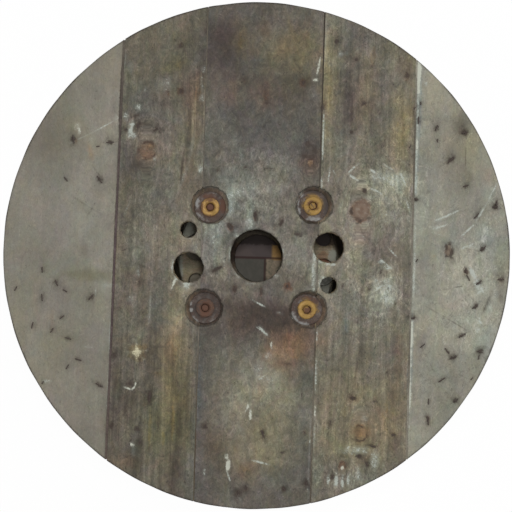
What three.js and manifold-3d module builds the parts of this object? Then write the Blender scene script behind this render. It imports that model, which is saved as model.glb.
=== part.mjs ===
// Wooden cable drum standing on one flange.
// Millimetres, +Z up along the drum's axis, origin at the centre of the lower flange's outer face.
//
// Each flange is two crossed plies of sawn boards, cut to a circle after they are nailed together.
// The barrel is a ring of flat staves whose ends stand in a groove routed into each inner ply.
// Four tie rods inside the barrel pull the flanges together. Each rod end is held by a sleeve nut,
// which bears on a round washer at the bottom of a counterbore in the outer ply.

import * as THREE from "three";
import { mergeVertices } from "three/addons/utils/BufferGeometryUtils.js";
import Module from "manifold-3d";

const wasm = await Module();
wasm.setup();

// ---------------------------------------------------------------- driving dimensions

const overallLength = 520; // outer face to outer face
const flangeDiameter = 800;
const rimChamfer = 3; // worn corner all round each flange

const plyThickness = 22;
const plyGap = 0.4; // between the two crossed plies
const edgeBoardStep = 2; // the outermost boards are thinner stock, so they lie this much lower
const arrisEase = 1.2; // softened long edges of every board

const spindleHoleDiameter = 82;

const staveCount = 14;
const staveThickness = 20;
const staveGap = 0.8; // between neighbouring staves
const staveArris = 2;
const barrelDiameter = 320; // across the flats of the staves
const grooveDepth = 10;
const grooveSideClearance = 0.5;
const grooveEndClearance = 0.3;

// The holes were drilled by hand, so their pattern lies a little off the drum's axis, here in X and Y.
const patternShift = [3.5, -2.5];

const rodDiameter = 12;
const rodToStave = 25; // rod axis to the inside of the staves
const rodAngles = [45, 135, 225, 315];
const rodShifts = [
  [2, 2.5],
  [2.5, -4],
  [-0.8, -0.8],
  [-3, 1.2],
];
const rodRecess = 4; // rod end below the face of its nut
const rodEndChamfer = 1.2;

const nutWall = 2.5; // round the rod, in the sleeve
const nutSleeveLength = 26;
const nutFlangeDiameter = 30;
const nutFlangeThickness = 3.5;
const nutEdgeChamfer = 1;
const threadClearance = 0.3;

const washerDiameter = 50;
const washerThickness = 3;
const washerChamfer = 0.6;
const washerClearance = 0.5; // round the nut's sleeve
const seatClearance = 0.3; // under the washer and under the nut's flange

const counterboreDepth = 14;
const counterboreClearance = 4; // round the washer
const counterboreShifts = [
  [2, 1],
  [0, 2.5],
  [-2, 0],
  [2.5, 0],
]; // from each rod
const sleeveHoleClearance = 1; // round the nut's sleeve, in the wood

const driveHoleDiameter = 47;
const driveHoleToStave = 28; // hole axis to the inside of the staves
const driveHoleAngle = 9.7; // degrees from the X axis; a second hole lies opposite
const pinHoleDiameter = 25;
const pinHoleToStave = 21;
const pinHoleAngle = -20; // a second hole lies opposite

// The four joints between a ply's boards, from left to right: how far the inner two lie beyond the rods, so
// that the washers clamp the boards on both sides, the widths of the boards next to them, and each joint's
// gap and its tilt in degrees.
const upperOuterPly = {
  beyondRods: [9.7, 11.7],
  nextBoards: [135.5, 148.5],
  gaps: [2.6, 0.6, 1.4, 1.8],
  tilts: [0.8, 0, 0, -0.25],
};
const upperInnerPly = {
  beyondRods: [-24, 36],
  nextBoards: [180, 140],
  gaps: [2, 1.2, 1.6, 2.2],
  tilts: [0, 0, 0, 0],
};
const lowerOuterPly = {
  beyondRods: [11.7, 9.7],
  nextBoards: [131, 174],
  gaps: [1.8, 1.2, 1.6, 2.2],
  tilts: [-0.3, 0, 0, 0.4],
};
const lowerInnerPly = {
  beyondRods: [-24, 36],
  nextBoards: [140, 172],
  gaps: [1.8, 1.4, 1.4, 2],
  tilts: [0, 0, 0, 0],
};

// ---------------------------------------------------------------- sizes that follow

const flangeRadius = flangeDiameter / 2;
const flangeThickness = 2 * plyThickness + plyGap;
const staveOuterRadius = barrelDiameter / 2;
const staveInnerRadius = staveOuterRadius - staveThickness;
const staveHalfAngle = Math.PI / staveCount;
const barrelCornerRadius = staveOuterRadius / Math.cos(staveHalfAngle);
const staveLength =
  overallLength - 2 * flangeThickness + 2 * (grooveDepth - grooveEndClearance);

const rodPitchRadius = staveInnerRadius - rodToStave;
const driveHolePitchRadius = staveInnerRadius - driveHoleToStave;
const pinHolePitchRadius = staveInnerRadius - pinHoleToStave;

const sleeveDiameter = rodDiameter + 2 * threadClearance + 2 * nutWall;
const washerBore = sleeveDiameter + 2 * washerClearance;
const sleeveHoleDiameter = sleeveDiameter + 2 * sleeveHoleClearance;
const counterboreDiameter = washerDiameter + 2 * counterboreClearance;

// Heights below a flange's outer face.
const washerTop = counterboreDepth - seatClearance - washerThickness;
const nutSeat = washerTop - seatClearance;
const nutFace = nutSeat - nutFlangeThickness;
const rodEnd = nutFace + rodRecess;

const cutMargin = 2; // how far a cutter runs past the faces it opens
const rimSegments = 96;
const boreSegments = 32;
const fastenerSegments = 20;

// ---------------------------------------------------------------- materials

const weatheredBoard = new THREE.MeshStandardMaterial({ color: 0x6e6a5c, roughness: 0.88, metalness: 0 });
const paleBoard = new THREE.MeshStandardMaterial({ color: 0x86816f, roughness: 0.82, metalness: 0 });
const innerBoard = new THREE.MeshStandardMaterial({ color: 0x8a7458, roughness: 0.86, metalness: 0 });
const staveWood = new THREE.MeshStandardMaterial({ color: 0x8f7d62, roughness: 0.85, metalness: 0 });
const rustedSteel = new THREE.MeshStandardMaterial({ color: 0x4a3a34, roughness: 0.8, metalness: 0.5 });
const yellowZinc = new THREE.MeshStandardMaterial({ color: 0xa8863c, roughness: 0.45, metalness: 0.8 });

// ---------------------------------------------------------------- helpers

function solidOf(geometry) {
  const bare = geometry.clone();
  bare.deleteAttribute("normal");
  bare.deleteAttribute("uv");
  const merged = mergeVertices(bare, 1e-4);
  return new wasm.Manifold(
    new wasm.Mesh({
      numProp: 3,
      vertProperties: new Float32Array(merged.attributes.position.array),
      triVerts: new Uint32Array(merged.index.array),
    }),
  );
}

function geometryOf(solid) {
  const { numProp, numVert, vertProperties, triVerts } = solid.getMesh();
  const positions = new Float32Array(numVert * 3);
  for (let i = 0; i < numVert; i++) {
    positions.set(vertProperties.subarray(i * numProp, i * numProp + 3), i * 3);
  }
  const geometry = new THREE.BufferGeometry();
  geometry.setAttribute("position", new THREE.BufferAttribute(positions, 3));
  geometry.setIndex(new THREE.BufferAttribute(new Uint32Array(triVerts), 1));
  geometry.computeVertexNormals();
  return geometry;
}

function namedMesh(name, geometry, material) {
  const mesh = new THREE.Mesh(geometry, material);
  mesh.name = name;
  return mesh;
}

// A profile of [radius, height] points turned about the Z axis.
function turned(profile, segments) {
  const points = profile.map(([radius, height]) => new THREE.Vector2(radius, height));
  return new THREE.LatheGeometry(points, segments).rotateX(Math.PI / 2);
}

// A round cutter along Z between two heights, centred at a point of the plan.
function roundCutter(diameter, low, high, centre = new THREE.Vector2(), segments = boreSegments) {
  const radius = diameter / 2;
  const cylinder = new THREE.CylinderGeometry(radius, radius, high - low, segments);
  cylinder.rotateX(Math.PI / 2).translate(centre.x, centre.y, (low + high) / 2);
  return solidOf(cylinder);
}

function onCircle(radius, degrees) {
  const angle = THREE.MathUtils.degToRad(degrees);
  return new THREE.Vector2(radius * Math.cos(angle), radius * Math.sin(angle));
}

function shifted(point, [x, y]) {
  return new THREE.Vector2(point.x + x, point.y + y);
}

// ---------------------------------------------------------------- flanges

const rodCentres = rodAngles.map((degrees, i) =>
  shifted(shifted(onCircle(rodPitchRadius, degrees), patternShift), rodShifts[i]),
);

// Where one flange is drilled, in its own frame. The lower flange faces down, so across is -1 there.
function drilling(across) {
  const seen = (point) => new THREE.Vector2(across * point.x, point.y);
  const centre = [across * patternShift[0], patternShift[1]];
  const pair = (radius, degrees) => [0, 180].map((turn) => shifted(onCircle(radius, degrees + turn), centre));
  return {
    centre,
    rods: rodCentres.map(seen),
    counterbores: rodCentres.map((rod, i) => seen(shifted(rod, counterboreShifts[i]))),
    drives: pair(driveHolePitchRadius, driveHoleAngle),
    pins: pair(pinHolePitchRadius, pinHoleAngle),
  };
}

// The joints of a ply, whose rods stand on both sides of the line at middle.
function plyJoints(ply, middle) {
  const toRods = rodPitchRadius * Math.SQRT1_2;
  const left = middle - toRods - ply.beyondRods[0];
  const right = middle + toRods + ply.beyondRods[1];
  const offsets = [left - ply.nextBoards[0], left, right, right + ply.nextBoards[1]];
  return offsets.map((offset, i) => ({ offset, gap: ply.gaps[i], tilt: ply.tilts[i] }));
}

// The edge of a board along one joint, as its two ends in the plan.
function jointEdge(joint, side, reach) {
  const slope = Math.tan(THREE.MathUtils.degToRad(joint.tilt));
  const face = joint.offset + (side * joint.gap) / 2;
  return [-reach, reach].map((y) => new THREE.Vector2(face + slope * y, y));
}

// Board blanks between the joints, running along Y, with eased arrises, from height low to high.
function boardBlanks(joints, heights) {
  const reach = flangeRadius + cutMargin + arrisEase;
  const end = { gap: 0, tilt: 0 };
  const edges = [{ ...end, offset: -reach }, ...joints, { ...end, offset: reach }];
  return heights.map(([low, high], i) => {
    const [leftNear, leftFar] = jointEdge(edges[i], 1, reach);
    const [rightNear, rightFar] = jointEdge(edges[i + 1], -1, reach);
    const outline = new THREE.Shape([leftNear, rightNear, rightFar, leftFar]);
    const blank = new THREE.ExtrudeGeometry(outline, {
      depth: high - low - 2 * arrisEase,
      bevelThickness: arrisEase,
      bevelSize: arrisEase,
      bevelOffset: -arrisEase,
      bevelSegments: 1,
    });
    return blank.translate(0, 0, low + arrisEase);
  });
}

// The round that the saw leaves, with its worn corner on the face at height worn.
function roundBlank(low, high, worn) {
  const chamferAt = (height) => (height === worn ? rimChamfer : 0);
  const profile = [
    [0, low],
    [flangeRadius - chamferAt(low), low],
    [flangeRadius, low + chamferAt(low)],
    [flangeRadius, high - chamferAt(high)],
    [flangeRadius - chamferAt(high), high],
    [0, high],
  ];
  const repeats = ([radius, height], i) =>
    i > 0 && radius === profile[i - 1][0] && height === profile[i - 1][1];
  return solidOf(turned(profile.filter((point, i) => !repeats(point, i)), rimSegments));
}

function through(diameter, centres, segments) {
  const low = -flangeThickness - cutMargin;
  return centres.map((centre) => roundCutter(diameter, low, cutMargin, centre, segments));
}

function throughHoles(drilled) {
  return [
    ...through(spindleHoleDiameter, [new THREE.Vector2()]),
    ...through(driveHoleDiameter, drilled.drives),
    ...through(pinHoleDiameter, drilled.pins, fastenerSegments),
    ...through(sleeveHoleDiameter, drilled.rods, fastenerSegments),
  ];
}

function counterbores(drilled) {
  return drilled.counterbores.map((centre) =>
    roundCutter(counterboreDiameter, -counterboreDepth, cutMargin, centre),
  );
}

// The groove that the staves stand in, open at the flange's inner face.
function staveGroove() {
  const inner = staveInnerRadius - grooveSideClearance;
  const outer = barrelCornerRadius + grooveSideClearance;
  const floor = -flangeThickness + grooveDepth;
  const mouth = -flangeThickness - cutMargin;
  const profile = [
    [inner, mouth],
    [outer, mouth],
    [outer, floor],
    [inner, floor],
    [inner, mouth],
  ];
  return solidOf(turned(profile, rimSegments));
}

function cutBoards(blanks, round, cutters) {
  return blanks.map((blank) => {
    let board = solidOf(blank).intersect(round);
    for (const cutter of cutters) {
      board = board.subtract(cutter);
    }
    return geometryOf(board);
  });
}

// The outer ply, with its boards along Y. Its first and last boards lie a step lower than the others.
function outerPly(side, ply, drilled) {
  const joints = plyJoints(ply, drilled.centre[0]);
  const last = joints.length;
  const isEdge = (i) => i === 0 || i === last;
  const heights = Array.from({ length: last + 1 }, (_, i) => [-plyThickness, isEdge(i) ? -edgeBoardStep : 0]);
  const cutters = [...throughHoles(drilled), ...counterbores(drilled)];
  const boards = cutBoards(boardBlanks(joints, heights), roundBlank(-plyThickness, 0, 0), cutters);
  return boards.map((geometry, i) =>
    namedMesh(`${side}_outer_board_${i + 1}`, geometry, isEdge(i) ? paleBoard : weatheredBoard),
  );
}

// The inner ply, with its boards along X, grooved for the staves.
function innerPly(side, ply, drilled) {
  const joints = plyJoints(ply, drilled.centre[1]);
  const high = -plyThickness - plyGap;
  const low = -flangeThickness;
  const heights = Array.from({ length: joints.length + 1 }, () => [low, high]);
  const blanks = boardBlanks(joints, heights).map((blank) => blank.rotateZ(Math.PI / 2));
  const cutters = [...throughHoles(drilled), staveGroove()];
  const boards = cutBoards(blanks, roundBlank(low, high, low), cutters);
  return boards.map((geometry, i) => namedMesh(`${side}_inner_board_${i + 1}`, geometry, innerBoard));
}

// ---------------------------------------------------------------- fasteners

// A sleeve nut: its round flange bears on the washer, and its sleeve reaches down the rod.
function sleeveNut() {
  const bore = rodDiameter / 2 + threadClearance;
  const sleeve = sleeveDiameter / 2;
  const rim = nutFlangeDiameter / 2;
  const tip = -nutSeat - nutSleeveLength;
  return turned(
    [
      [bore, tip],
      [sleeve, tip],
      [sleeve, -nutSeat],
      [rim, -nutSeat],
      [rim, -nutFace - nutEdgeChamfer],
      [rim - nutEdgeChamfer, -nutFace],
      [bore + nutEdgeChamfer, -nutFace],
      [bore, -nutFace - nutEdgeChamfer],
      [bore, tip],
    ],
    fastenerSegments,
  );
}

function washer() {
  const bore = washerBore / 2;
  const rim = washerDiameter / 2;
  const under = -washerTop - washerThickness;
  return turned(
    [
      [bore, under],
      [rim, under],
      [rim, -washerTop - washerChamfer],
      [rim - washerChamfer, -washerTop],
      [bore, -washerTop],
      [bore, under],
    ],
    fastenerSegments,
  );
}

function tieRod() {
  const radius = rodDiameter / 2;
  const low = rodEnd;
  const high = overallLength - rodEnd;
  return turned(
    [
      [0, low],
      [radius - rodEndChamfer, low],
      [radius, low + rodEndChamfer],
      [radius, high - rodEndChamfer],
      [radius - rodEndChamfer, high],
      [0, high],
    ],
    fastenerSegments,
  );
}

function fasteners(side, drilled) {
  return drilled.rods.flatMap((centre, i) => {
    const nut = namedMesh(`${side}_nut_${i + 1}`, sleeveNut(), yellowZinc);
    const ring = namedMesh(`${side}_washer_${i + 1}`, washer(), rustedSteel);
    for (const piece of [nut, ring]) {
      piece.position.set(centre.x, centre.y, 0);
    }
    return [nut, ring];
  });
}

// ---------------------------------------------------------------- barrel

// A flat stave with bevelled sides and softened outer arrises, standing on the plane of height 0.
function stave() {
  const half = (radius) => radius * Math.tan(staveHalfAngle) - staveGap / 2;
  const inner = half(staveInnerRadius);
  const outer = half(staveOuterRadius);
  const shoulder = half(staveOuterRadius - staveArris);
  const section = new THREE.Shape([
    new THREE.Vector2(staveInnerRadius, -inner),
    new THREE.Vector2(staveOuterRadius - staveArris, -shoulder),
    new THREE.Vector2(staveOuterRadius, staveArris - outer),
    new THREE.Vector2(staveOuterRadius, outer - staveArris),
    new THREE.Vector2(staveOuterRadius - staveArris, shoulder),
    new THREE.Vector2(staveInnerRadius, inner),
  ]);
  return new THREE.ExtrudeGeometry(section, { depth: staveLength, bevelEnabled: false });
}

function barrel() {
  const group = new THREE.Group();
  for (let i = 0; i < staveCount; i++) {
    const piece = namedMesh(`stave_${String(i + 1).padStart(2, "0")}`, stave(), staveWood);
    piece.rotation.z = (2 * i + 1) * staveHalfAngle;
    group.add(piece);
  }
  group.position.z = (overallLength - staveLength) / 2;
  return group;
}

// ---------------------------------------------------------------- assembly

// One flange with its nuts and washers, in its own frame: outer face up, at height 0.
function flange(side, across, outer, inner) {
  const drilled = drilling(across);
  const group = new THREE.Group();
  group.add(...outerPly(side, outer, drilled), ...innerPly(side, inner, drilled));
  group.add(...fasteners(side, drilled));
  return group;
}

const upper = flange("upper", 1, upperOuterPly, upperInnerPly);
upper.position.z = overallLength;

const lower = flange("lower", -1, lowerOuterPly, lowerInnerPly);
lower.rotation.y = Math.PI;

const drum = new THREE.Group();
drum.add(upper, lower, barrel());

rodCentres.forEach((centre, i) => {
  const rod = namedMesh(`tie_rod_${i + 1}`, tieRod(), rustedSteel);
  rod.position.set(centre.x, centre.y, 0);
  drum.add(rod);
});

export default drum;
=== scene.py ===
"""A wooden cable drum, standing on one flange.

Each flange has two crossed plies of sawn boards, nailed through and clenched. Staves make the barrel, and
four tie rods with washers and sleeve nuts draw the flanges together. Lengths are in metres.
"""
import math

import bmesh
import bpy
import numpy as np
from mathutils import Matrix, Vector
from mathutils.geometry import delaunay_2d_cdt


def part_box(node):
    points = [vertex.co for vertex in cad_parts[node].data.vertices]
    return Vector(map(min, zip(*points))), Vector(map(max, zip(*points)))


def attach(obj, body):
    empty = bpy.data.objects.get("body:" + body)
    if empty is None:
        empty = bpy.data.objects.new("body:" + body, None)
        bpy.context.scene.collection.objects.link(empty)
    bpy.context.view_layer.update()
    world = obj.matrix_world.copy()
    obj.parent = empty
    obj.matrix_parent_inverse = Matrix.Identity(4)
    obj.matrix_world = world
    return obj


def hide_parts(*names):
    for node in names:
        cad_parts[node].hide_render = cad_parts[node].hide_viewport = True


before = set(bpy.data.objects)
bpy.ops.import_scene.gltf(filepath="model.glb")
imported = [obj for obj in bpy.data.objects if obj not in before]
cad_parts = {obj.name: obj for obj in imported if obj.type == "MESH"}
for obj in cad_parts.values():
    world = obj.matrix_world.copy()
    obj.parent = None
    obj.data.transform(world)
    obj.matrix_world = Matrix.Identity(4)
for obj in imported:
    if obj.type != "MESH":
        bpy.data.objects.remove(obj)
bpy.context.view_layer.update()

MM = 0.001

# ------------------------ sizes of the drum

DRUM_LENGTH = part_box("upper_outer_board_3")[1].z
FLANGE_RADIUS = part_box("upper_outer_board_3")[1].y
PLY = 22 * MM
PLY_GAP = 0.4 * MM
INNER_FACE = 2 * PLY + PLY_GAP  # from a flange's outer face to its inner face
PATTERN = (3.5 * MM, -2.5 * MM)  # the drive and pin holes are set out about this point
SPINDLE_HOLE = 41 * MM
DRIVE_HOLE = 23.5 * MM
DRIVE_PITCH = 112 * MM
DRIVE_ANGLE = 9.7
PIN_HOLE = 12.5 * MM
PIN_PITCH = 119 * MM
PIN_ANGLE = -20
SLEEVE_HOLE = 9.8 * MM
COUNTERBORE = 29 * MM
COUNTERBORE_DEPTH = 14 * MM
COUNTERBORE_SHIFTS = ((2, 1), (0, 2.5), (-2, 0), (2.5, 0))  # millimetres, from each rod
GROOVE_INSIDE = 139.5 * MM
GROOVE_OUTSIDE = 164.6 * MM
GROOVE_DEPTH = 10 * MM
BARREL_RADIUS = 160 * MM
STAVE_COUNT = 14
TIMBER_BUMP = 0.5 * MM
STEEL_BUMP = 0.35 * MM

FACE_STEP = 2.3 * MM  # between the points of the best face
PLAIN_STEP = 3.8 * MM
ROUND_STEP = 1.9 * MM
EDGE_ROWS = (0.45 * MM, 1.4 * MM)
JOINT_EASE = 0.55 * MM  # how far an edge is worn round
RIM_EASE = 1.6 * MM
HOLE_EASE = 3.2 * MM
RECESS_EASE = 2.2 * MM
SPECK = 1e-8  # square metres: a smaller patch is only a flattened triangle beside the outline


# ------------------------ soft random fields


def scatter_value(ix, iy, seed):
    """A fixed random value from 0 to 1 at each point of a square lattice."""
    n = (ix * 374761393 + iy * 668265263 + seed * 974634777) & 0xFFFFFFFF
    n = ((n ^ (n >> 13)) * 1274126177) & 0xFFFFFFFF
    return ((n ^ (n >> 16)) & 0xFFFF) / 65535.0


def cloud(u, v, size, seed, octaves=3):
    """A soft field from -1 to 1 whose patches are about one size across."""
    total = np.zeros_like(u)
    weight = 0.0
    for octave in range(octaves):
        scale = 2.0**octave / size
        x, y = u * scale, v * scale
        ix, iy = np.floor(x).astype(np.int64), np.floor(y).astype(np.int64)
        fx, fy = x - ix, y - iy
        fx, fy = fx * fx * (3 - 2 * fx), fy * fy * (3 - 2 * fy)
        key = seed * 17 + octave
        low = scatter_value(ix, iy, key) * (1 - fx) + scatter_value(ix + 1, iy, key) * fx
        high = scatter_value(ix, iy + 1, key) * (1 - fx) + scatter_value(ix + 1, iy + 1, key) * fx
        total += (low * (1 - fy) + high * fy - 0.5) * 2 * 0.5**octave
        weight += 0.5**octave
    return total / weight


def ripple(t, seed, counts):
    """Waves of these counts along t, from about -1 to 1, with fixed random phases."""
    phases = np.random.default_rng(seed).uniform(0, 2 * math.pi, len(counts))
    return sum(np.sin(count * t + phase) for count, phase in zip(counts, phases)) / len(counts) ** 0.5


def smooth_step(value, low, high):
    t = np.clip((value - low) / (high - low), 0, 1)
    return t * t * (3 - 2 * t)


# ------------------------ cuts that give a board its outline


class RoundCut:
    """A hole, with wood outside it, or the round that the flange is sawn to, with wood inside it."""

    def __init__(self, centre, radius, rough, seed, wood_inside=False):
        self.centre, self.radius, self.rough, self.seed = centre, radius, rough, seed
        self.side = -1 if wood_inside else 1

    def radius_at(self, angle):
        wear = 0.5 + 0.5 * ripple(angle, self.seed, (3, 7, 13, 22, 41))
        return self.radius + self.side * self.rough * np.clip(wear, 0, 1.2)

    def clear(self, p, q):
        dp, dq = p - self.centre[0], q - self.centre[1]
        return self.side * (np.hypot(dp, dq) - self.radius_at(np.arctan2(dq, dp)))

    def traces(self, inset):
        count = max(24, int(2 * math.pi * self.radius / ROUND_STEP))
        angle = (np.arange(count) + 0.5) * 2 * math.pi / count
        radius = self.radius_at(angle) + self.side * inset
        p = self.centre[0] + radius * np.cos(angle)
        return [(np.stack([p, self.centre[1] + radius * np.sin(angle)], 1), True)]


class RingCut:
    """The round groove for the staves, as one recess with an inner and an outer edge."""

    def __init__(self, outside, inside):
        self.outside, self.inside = outside, inside

    def clear(self, p, q):
        return np.maximum(self.outside.clear(p, q), -self.inside.clear(p, q))

    def traces(self, inset):
        return self.outside.traces(inset) + self.inside.traces(-inset)


class SawnEdge:
    """A board's long edge, with wood on the side of greater p (side 1) or lesser p (side -1)."""

    def __init__(self, at, slope, side, rough, seed):
        self.at, self.slope, self.side, self.rough, self.seed = at, slope, side, rough, seed

    def place(self, q):
        wear = 0.4 + 0.4 * ripple(q, self.seed, (17, 43, 97, 190))
        return self.at + self.slope * q + self.side * self.rough * np.clip(wear, 0, 1)

    def clear(self, p, q):
        return self.side * (p - self.place(q))

    def traces(self, inset):
        q = np.arange(-FLANGE_RADIUS - 6 * MM, FLANGE_RADIUS + 6 * MM, 2.4 * MM)
        return [(np.stack([self.place(q) + self.side * inset, q], 1), False)]


def clearance(cuts, p, q):
    """How far each point lies inside the wood that all these cuts leave."""
    return np.min([cut.clear(p, q) for cut in cuts], axis=0)


def within(x, y, rounds):
    """Where any of these rounds, each a centre and a radius, covers a point."""
    return np.any([np.hypot(x - cx, y - cy) < radius for (cx, cy), radius in rounds], axis=0)


def push_into_wood(cuts, p, q, amounts):
    """Moves points on the outline straight into the wood."""
    e = 0.05 * MM
    gp = clearance(cuts, p + e, q) - clearance(cuts, p - e, q)
    gq = clearance(cuts, p, q + e) - clearance(cuts, p, q - e)
    size = np.maximum(np.hypot(gp, gq), 1e-9)
    return p + gp / size * amounts, q + gq / size * amounts


# ------------------------ a board as one closed mesh


def join_up(points, links, line, closed):
    start = sum(len(part) for part in points)
    points.append(line)
    links += [(start + i, start + i + 1) for i in range(len(line) - 1)]
    if closed:
        links.append((start + len(line) - 1, start))


def triangulate(points, links):
    """Triangles over these points that keep the links, and the patch between links that each one lies in."""
    flat, edges, faces, _, sources, _ = delaunay_2d_cdt([tuple(p) for p in points], links, [], 0, 1e-6, True)
    flat = np.array(flat, float).reshape(-1, 2)
    faces = np.array(faces, np.int64)
    walls = np.array([edge for edge, source in zip(edges, sources) if source], np.int64)
    sides = np.sort(np.concatenate([faces[:, [0, 1]], faces[:, [1, 2]], faces[:, [2, 0]]]), axis=1)
    codes = link_codes(sides)
    owner = np.tile(np.arange(len(faces)), 3)
    order = np.argsort(codes, kind="stable")
    codes, owner = codes[order], owner[order]
    joined = (codes[1:] == codes[:-1]) & ~np.isin(codes[1:], link_codes(np.sort(walls, axis=1)))
    patch = list(range(len(faces)))

    def root(i):
        while patch[i] != i:
            patch[i] = patch[patch[i]]
            i = patch[i]
        return i

    for a, b in zip(owner[1:][joined].tolist(), owner[:-1][joined].tolist()):
        patch[root(a)] = root(b)
    return flat, faces, np.array([root(i) for i in range(len(faces))])


def patches_inside(flat, faces, patch, clear):
    """Which triangles lie where clear is positive, judged for each whole patch by its triangles' areas."""
    a, b, c = (flat[faces[:, i]] for i in range(3))
    area = np.abs((b[:, 0] - a[:, 0]) * (c[:, 1] - a[:, 1]) - (b[:, 1] - a[:, 1]) * (c[:, 0] - a[:, 0]))
    p, q = ((a + b + c) / 3).T
    vote = np.bincount(patch, weights=area * np.sign(clear(p, q)), minlength=len(faces))
    return vote[patch] > SPECK


def link_codes(links):
    return links[:, 0] * 10_000_000 + links[:, 1]


def outer_links(faces):
    """The links that only one of these triangles uses, each with the wood on its left."""
    links = np.concatenate([faces[:, [0, 1]], faces[:, [1, 2]], faces[:, [2, 0]]])
    return links[~np.isin(link_codes(links), link_codes(links[:, ::-1]))]


def face_grid(cuts, recesses, step, seed, details):
    """Points over a board's face: rows beside each cut, a loose grid, and closer points at details."""
    points, links = [], []
    every = (*cuts, *recesses)
    for line, closed in (trace for cut in every for trace in cut.traces(0)):
        join_up(points, links, line, closed)
    edge_rows = [line for cut in every for inset in EDGE_ROWS for line, _ in cut.traces(inset)]
    rng = np.random.default_rng(seed)
    grid_p, grid_q = np.meshgrid(
        np.arange(-FLANGE_RADIUS, FLANGE_RADIUS, step * 0.9),
        np.arange(-FLANGE_RADIUS, FLANGE_RADIUS, step * 1.2),
    )
    grid_p[1::2] += step * 0.45
    grid = np.stack([grid_p.ravel(), grid_q.ravel()], 1)
    grid += rng.uniform(-0.22, 0.22, grid.shape) * step
    for loose, keep_off in ((np.concatenate(edge_rows), 0.36 * MM), (grid, 2.1 * MM), (details, 2 * MM)):
        if len(loose):
            p, q = loose.T
            clear = clearance(cuts, p, q)
            for recess in recesses:
                clear = np.minimum(clear, np.abs(recess.clear(p, q)))
            points.append(loose[clear > keep_off])
    return np.concatenate(points), links


def quads(a, b, c, d):
    """Two triangles for each of these four-sided faces."""
    return [np.stack([a, b, c], 1), np.stack([a, c, d], 1)]


def board_shape(cuts, recesses, depth, thickness, step, seed, details, relief):
    """A closed board, its face at height 0, as vertices and triangles."""
    flat, faces, patch = triangulate(*face_grid(cuts, recesses, step, seed, details))
    in_board = patches_inside(flat, faces, patch, lambda p, q: clearance(cuts, p, q))
    on_face = in_board
    if recesses:
        on_face = in_board & patches_inside(flat, faces, patch, lambda p, q: clearance(recesses, p, q))
    face, floor = faces[on_face], faces[in_board & ~on_face]
    rows = [0, -2.6 * MM, -0.55 * depth, -depth, -(depth + thickness) / 2, -thickness + 1.4 * MM, -thickness]
    mid, last = 3, len(rows) - 1
    ids = np.full((len(rows), len(flat)), -1, np.int64)
    made = []

    def vertex_ids(row, which):
        which = np.unique(which)
        new = which[ids[row, which] < 0]
        ids[row, new] = sum(len(part[1]) for part in made) + np.arange(len(new))
        made.append((row, new))

    board_links = outer_links(faces[in_board])
    face_links, floor_links = outer_links(face), outer_links(floor)
    whole = np.isin(link_codes(face_links), link_codes(board_links))
    under = np.isin(link_codes(floor_links), link_codes(board_links))
    spans = ((face_links[whole], 0, last), (face_links[~whole], 0, mid), (floor_links[under], mid, last))
    vertex_ids(0, face)
    vertex_ids(mid, floor)
    triangles = [ids[0][face], ids[mid][floor]]
    for links, top, bottom in spans:
        for row in range(top, bottom + 1):
            vertex_ids(row, links)
        for row in range(top, bottom):
            a, b = links.T
            triangles += quads(ids[row, a], ids[row + 1, a], ids[row + 1, b], ids[row, b])
    edge = np.unique(board_links)
    renumber = np.full(len(flat), -1, np.int64)
    renumber[edge] = np.arange(len(edge))
    back, back_faces, patch = triangulate(flat[edge], renumber[board_links].tolist())
    back_faces = back_faces[patches_inside(back, back_faces, patch, lambda p, q: clearance(cuts, p, q))]
    triangles.append(ids[last][edge[back_faces]][:, ::-1])

    which = np.concatenate([new for _, new in made])
    row = np.concatenate([np.full(len(new), r) for r, new in made])
    p, q = flat[which].T
    height = np.array(rows)[row]
    is_face = row == 0
    height[is_face] = -relief(p[is_face], q[is_face], clearance((*cuts, *recesses), p[is_face], q[is_face]))
    is_floor = (row == mid) & np.isin(which, floor)
    height[is_floor] += 0.5 * MM * cloud(p[is_floor], q[is_floor], 9 * MM, seed + 5)
    split = 0.35 * MM * (1 + cloud(p * 2 + q, height * 3 + q, 14 * MM, seed + 9))
    amount = np.where(np.isin(row, (1, 2, 4)), split, np.where(row == last, 0.9 * MM, 0))
    p, q = push_into_wood(cuts, p, q, np.where(is_face | is_floor, 0, amount))
    return np.stack([p, q, height], 1), np.concatenate(triangles)


def closed_mesh(name, points, faces, smooth_to=38):
    """A mesh with its doubles merged and its faces turned outwards."""
    mesh = bpy.data.meshes.new(name)
    mesh.from_pydata(np.asarray(points).tolist(), [], np.asarray(faces).tolist())
    shape = bmesh.new()
    shape.from_mesh(mesh)
    bmesh.ops.remove_doubles(shape, verts=shape.verts, dist=1e-6)
    if not all(edge.is_manifold for edge in shape.edges):
        raise ValueError(f"{name} is not closed")
    bmesh.ops.recalc_face_normals(shape, faces=shape.faces)
    shape.to_mesh(mesh)
    shape.free()
    mesh.shade_smooth()
    mesh.set_sharp_from_angle(angle=math.radians(smooth_to))
    return mesh


def vertex_array(mesh):
    flat = np.zeros(len(mesh.vertices) * 3)
    mesh.vertices.foreach_get("co", flat)
    return flat.reshape(-1, 3)


def write(mesh, **fields):
    """Writes a number, a direction or a colour at every point of a mesh."""
    kinds = {1: ("FLOAT", "value"), 3: ("FLOAT_VECTOR", "vector"), 4: ("FLOAT_COLOR", "color")}
    for name, values in fields.items():
        values = np.ascontiguousarray(values, float)
        kind, field = kinds[values.size // len(values)]
        mesh.attributes.new(name, kind, "POINT").data.foreach_set(field, values.ravel())


def show(name, mesh, finish, slot, *nodes):
    """The piece as an object that rides on the drum and stands for these nodes."""
    piece = bpy.data.objects.new(name, mesh)
    bpy.context.scene.collection.objects.link(piece)
    if finish:
        mesh.materials.clear()
        mesh.materials.append(finish)
    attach(piece, "root")
    if nodes:
        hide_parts(*nodes)
    return piece


# ------------------------ marks on the faces

LAYERS = ("rust", "dirt", "pale", "ochre", "cool", "umber", "fresh", "knot")


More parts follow.
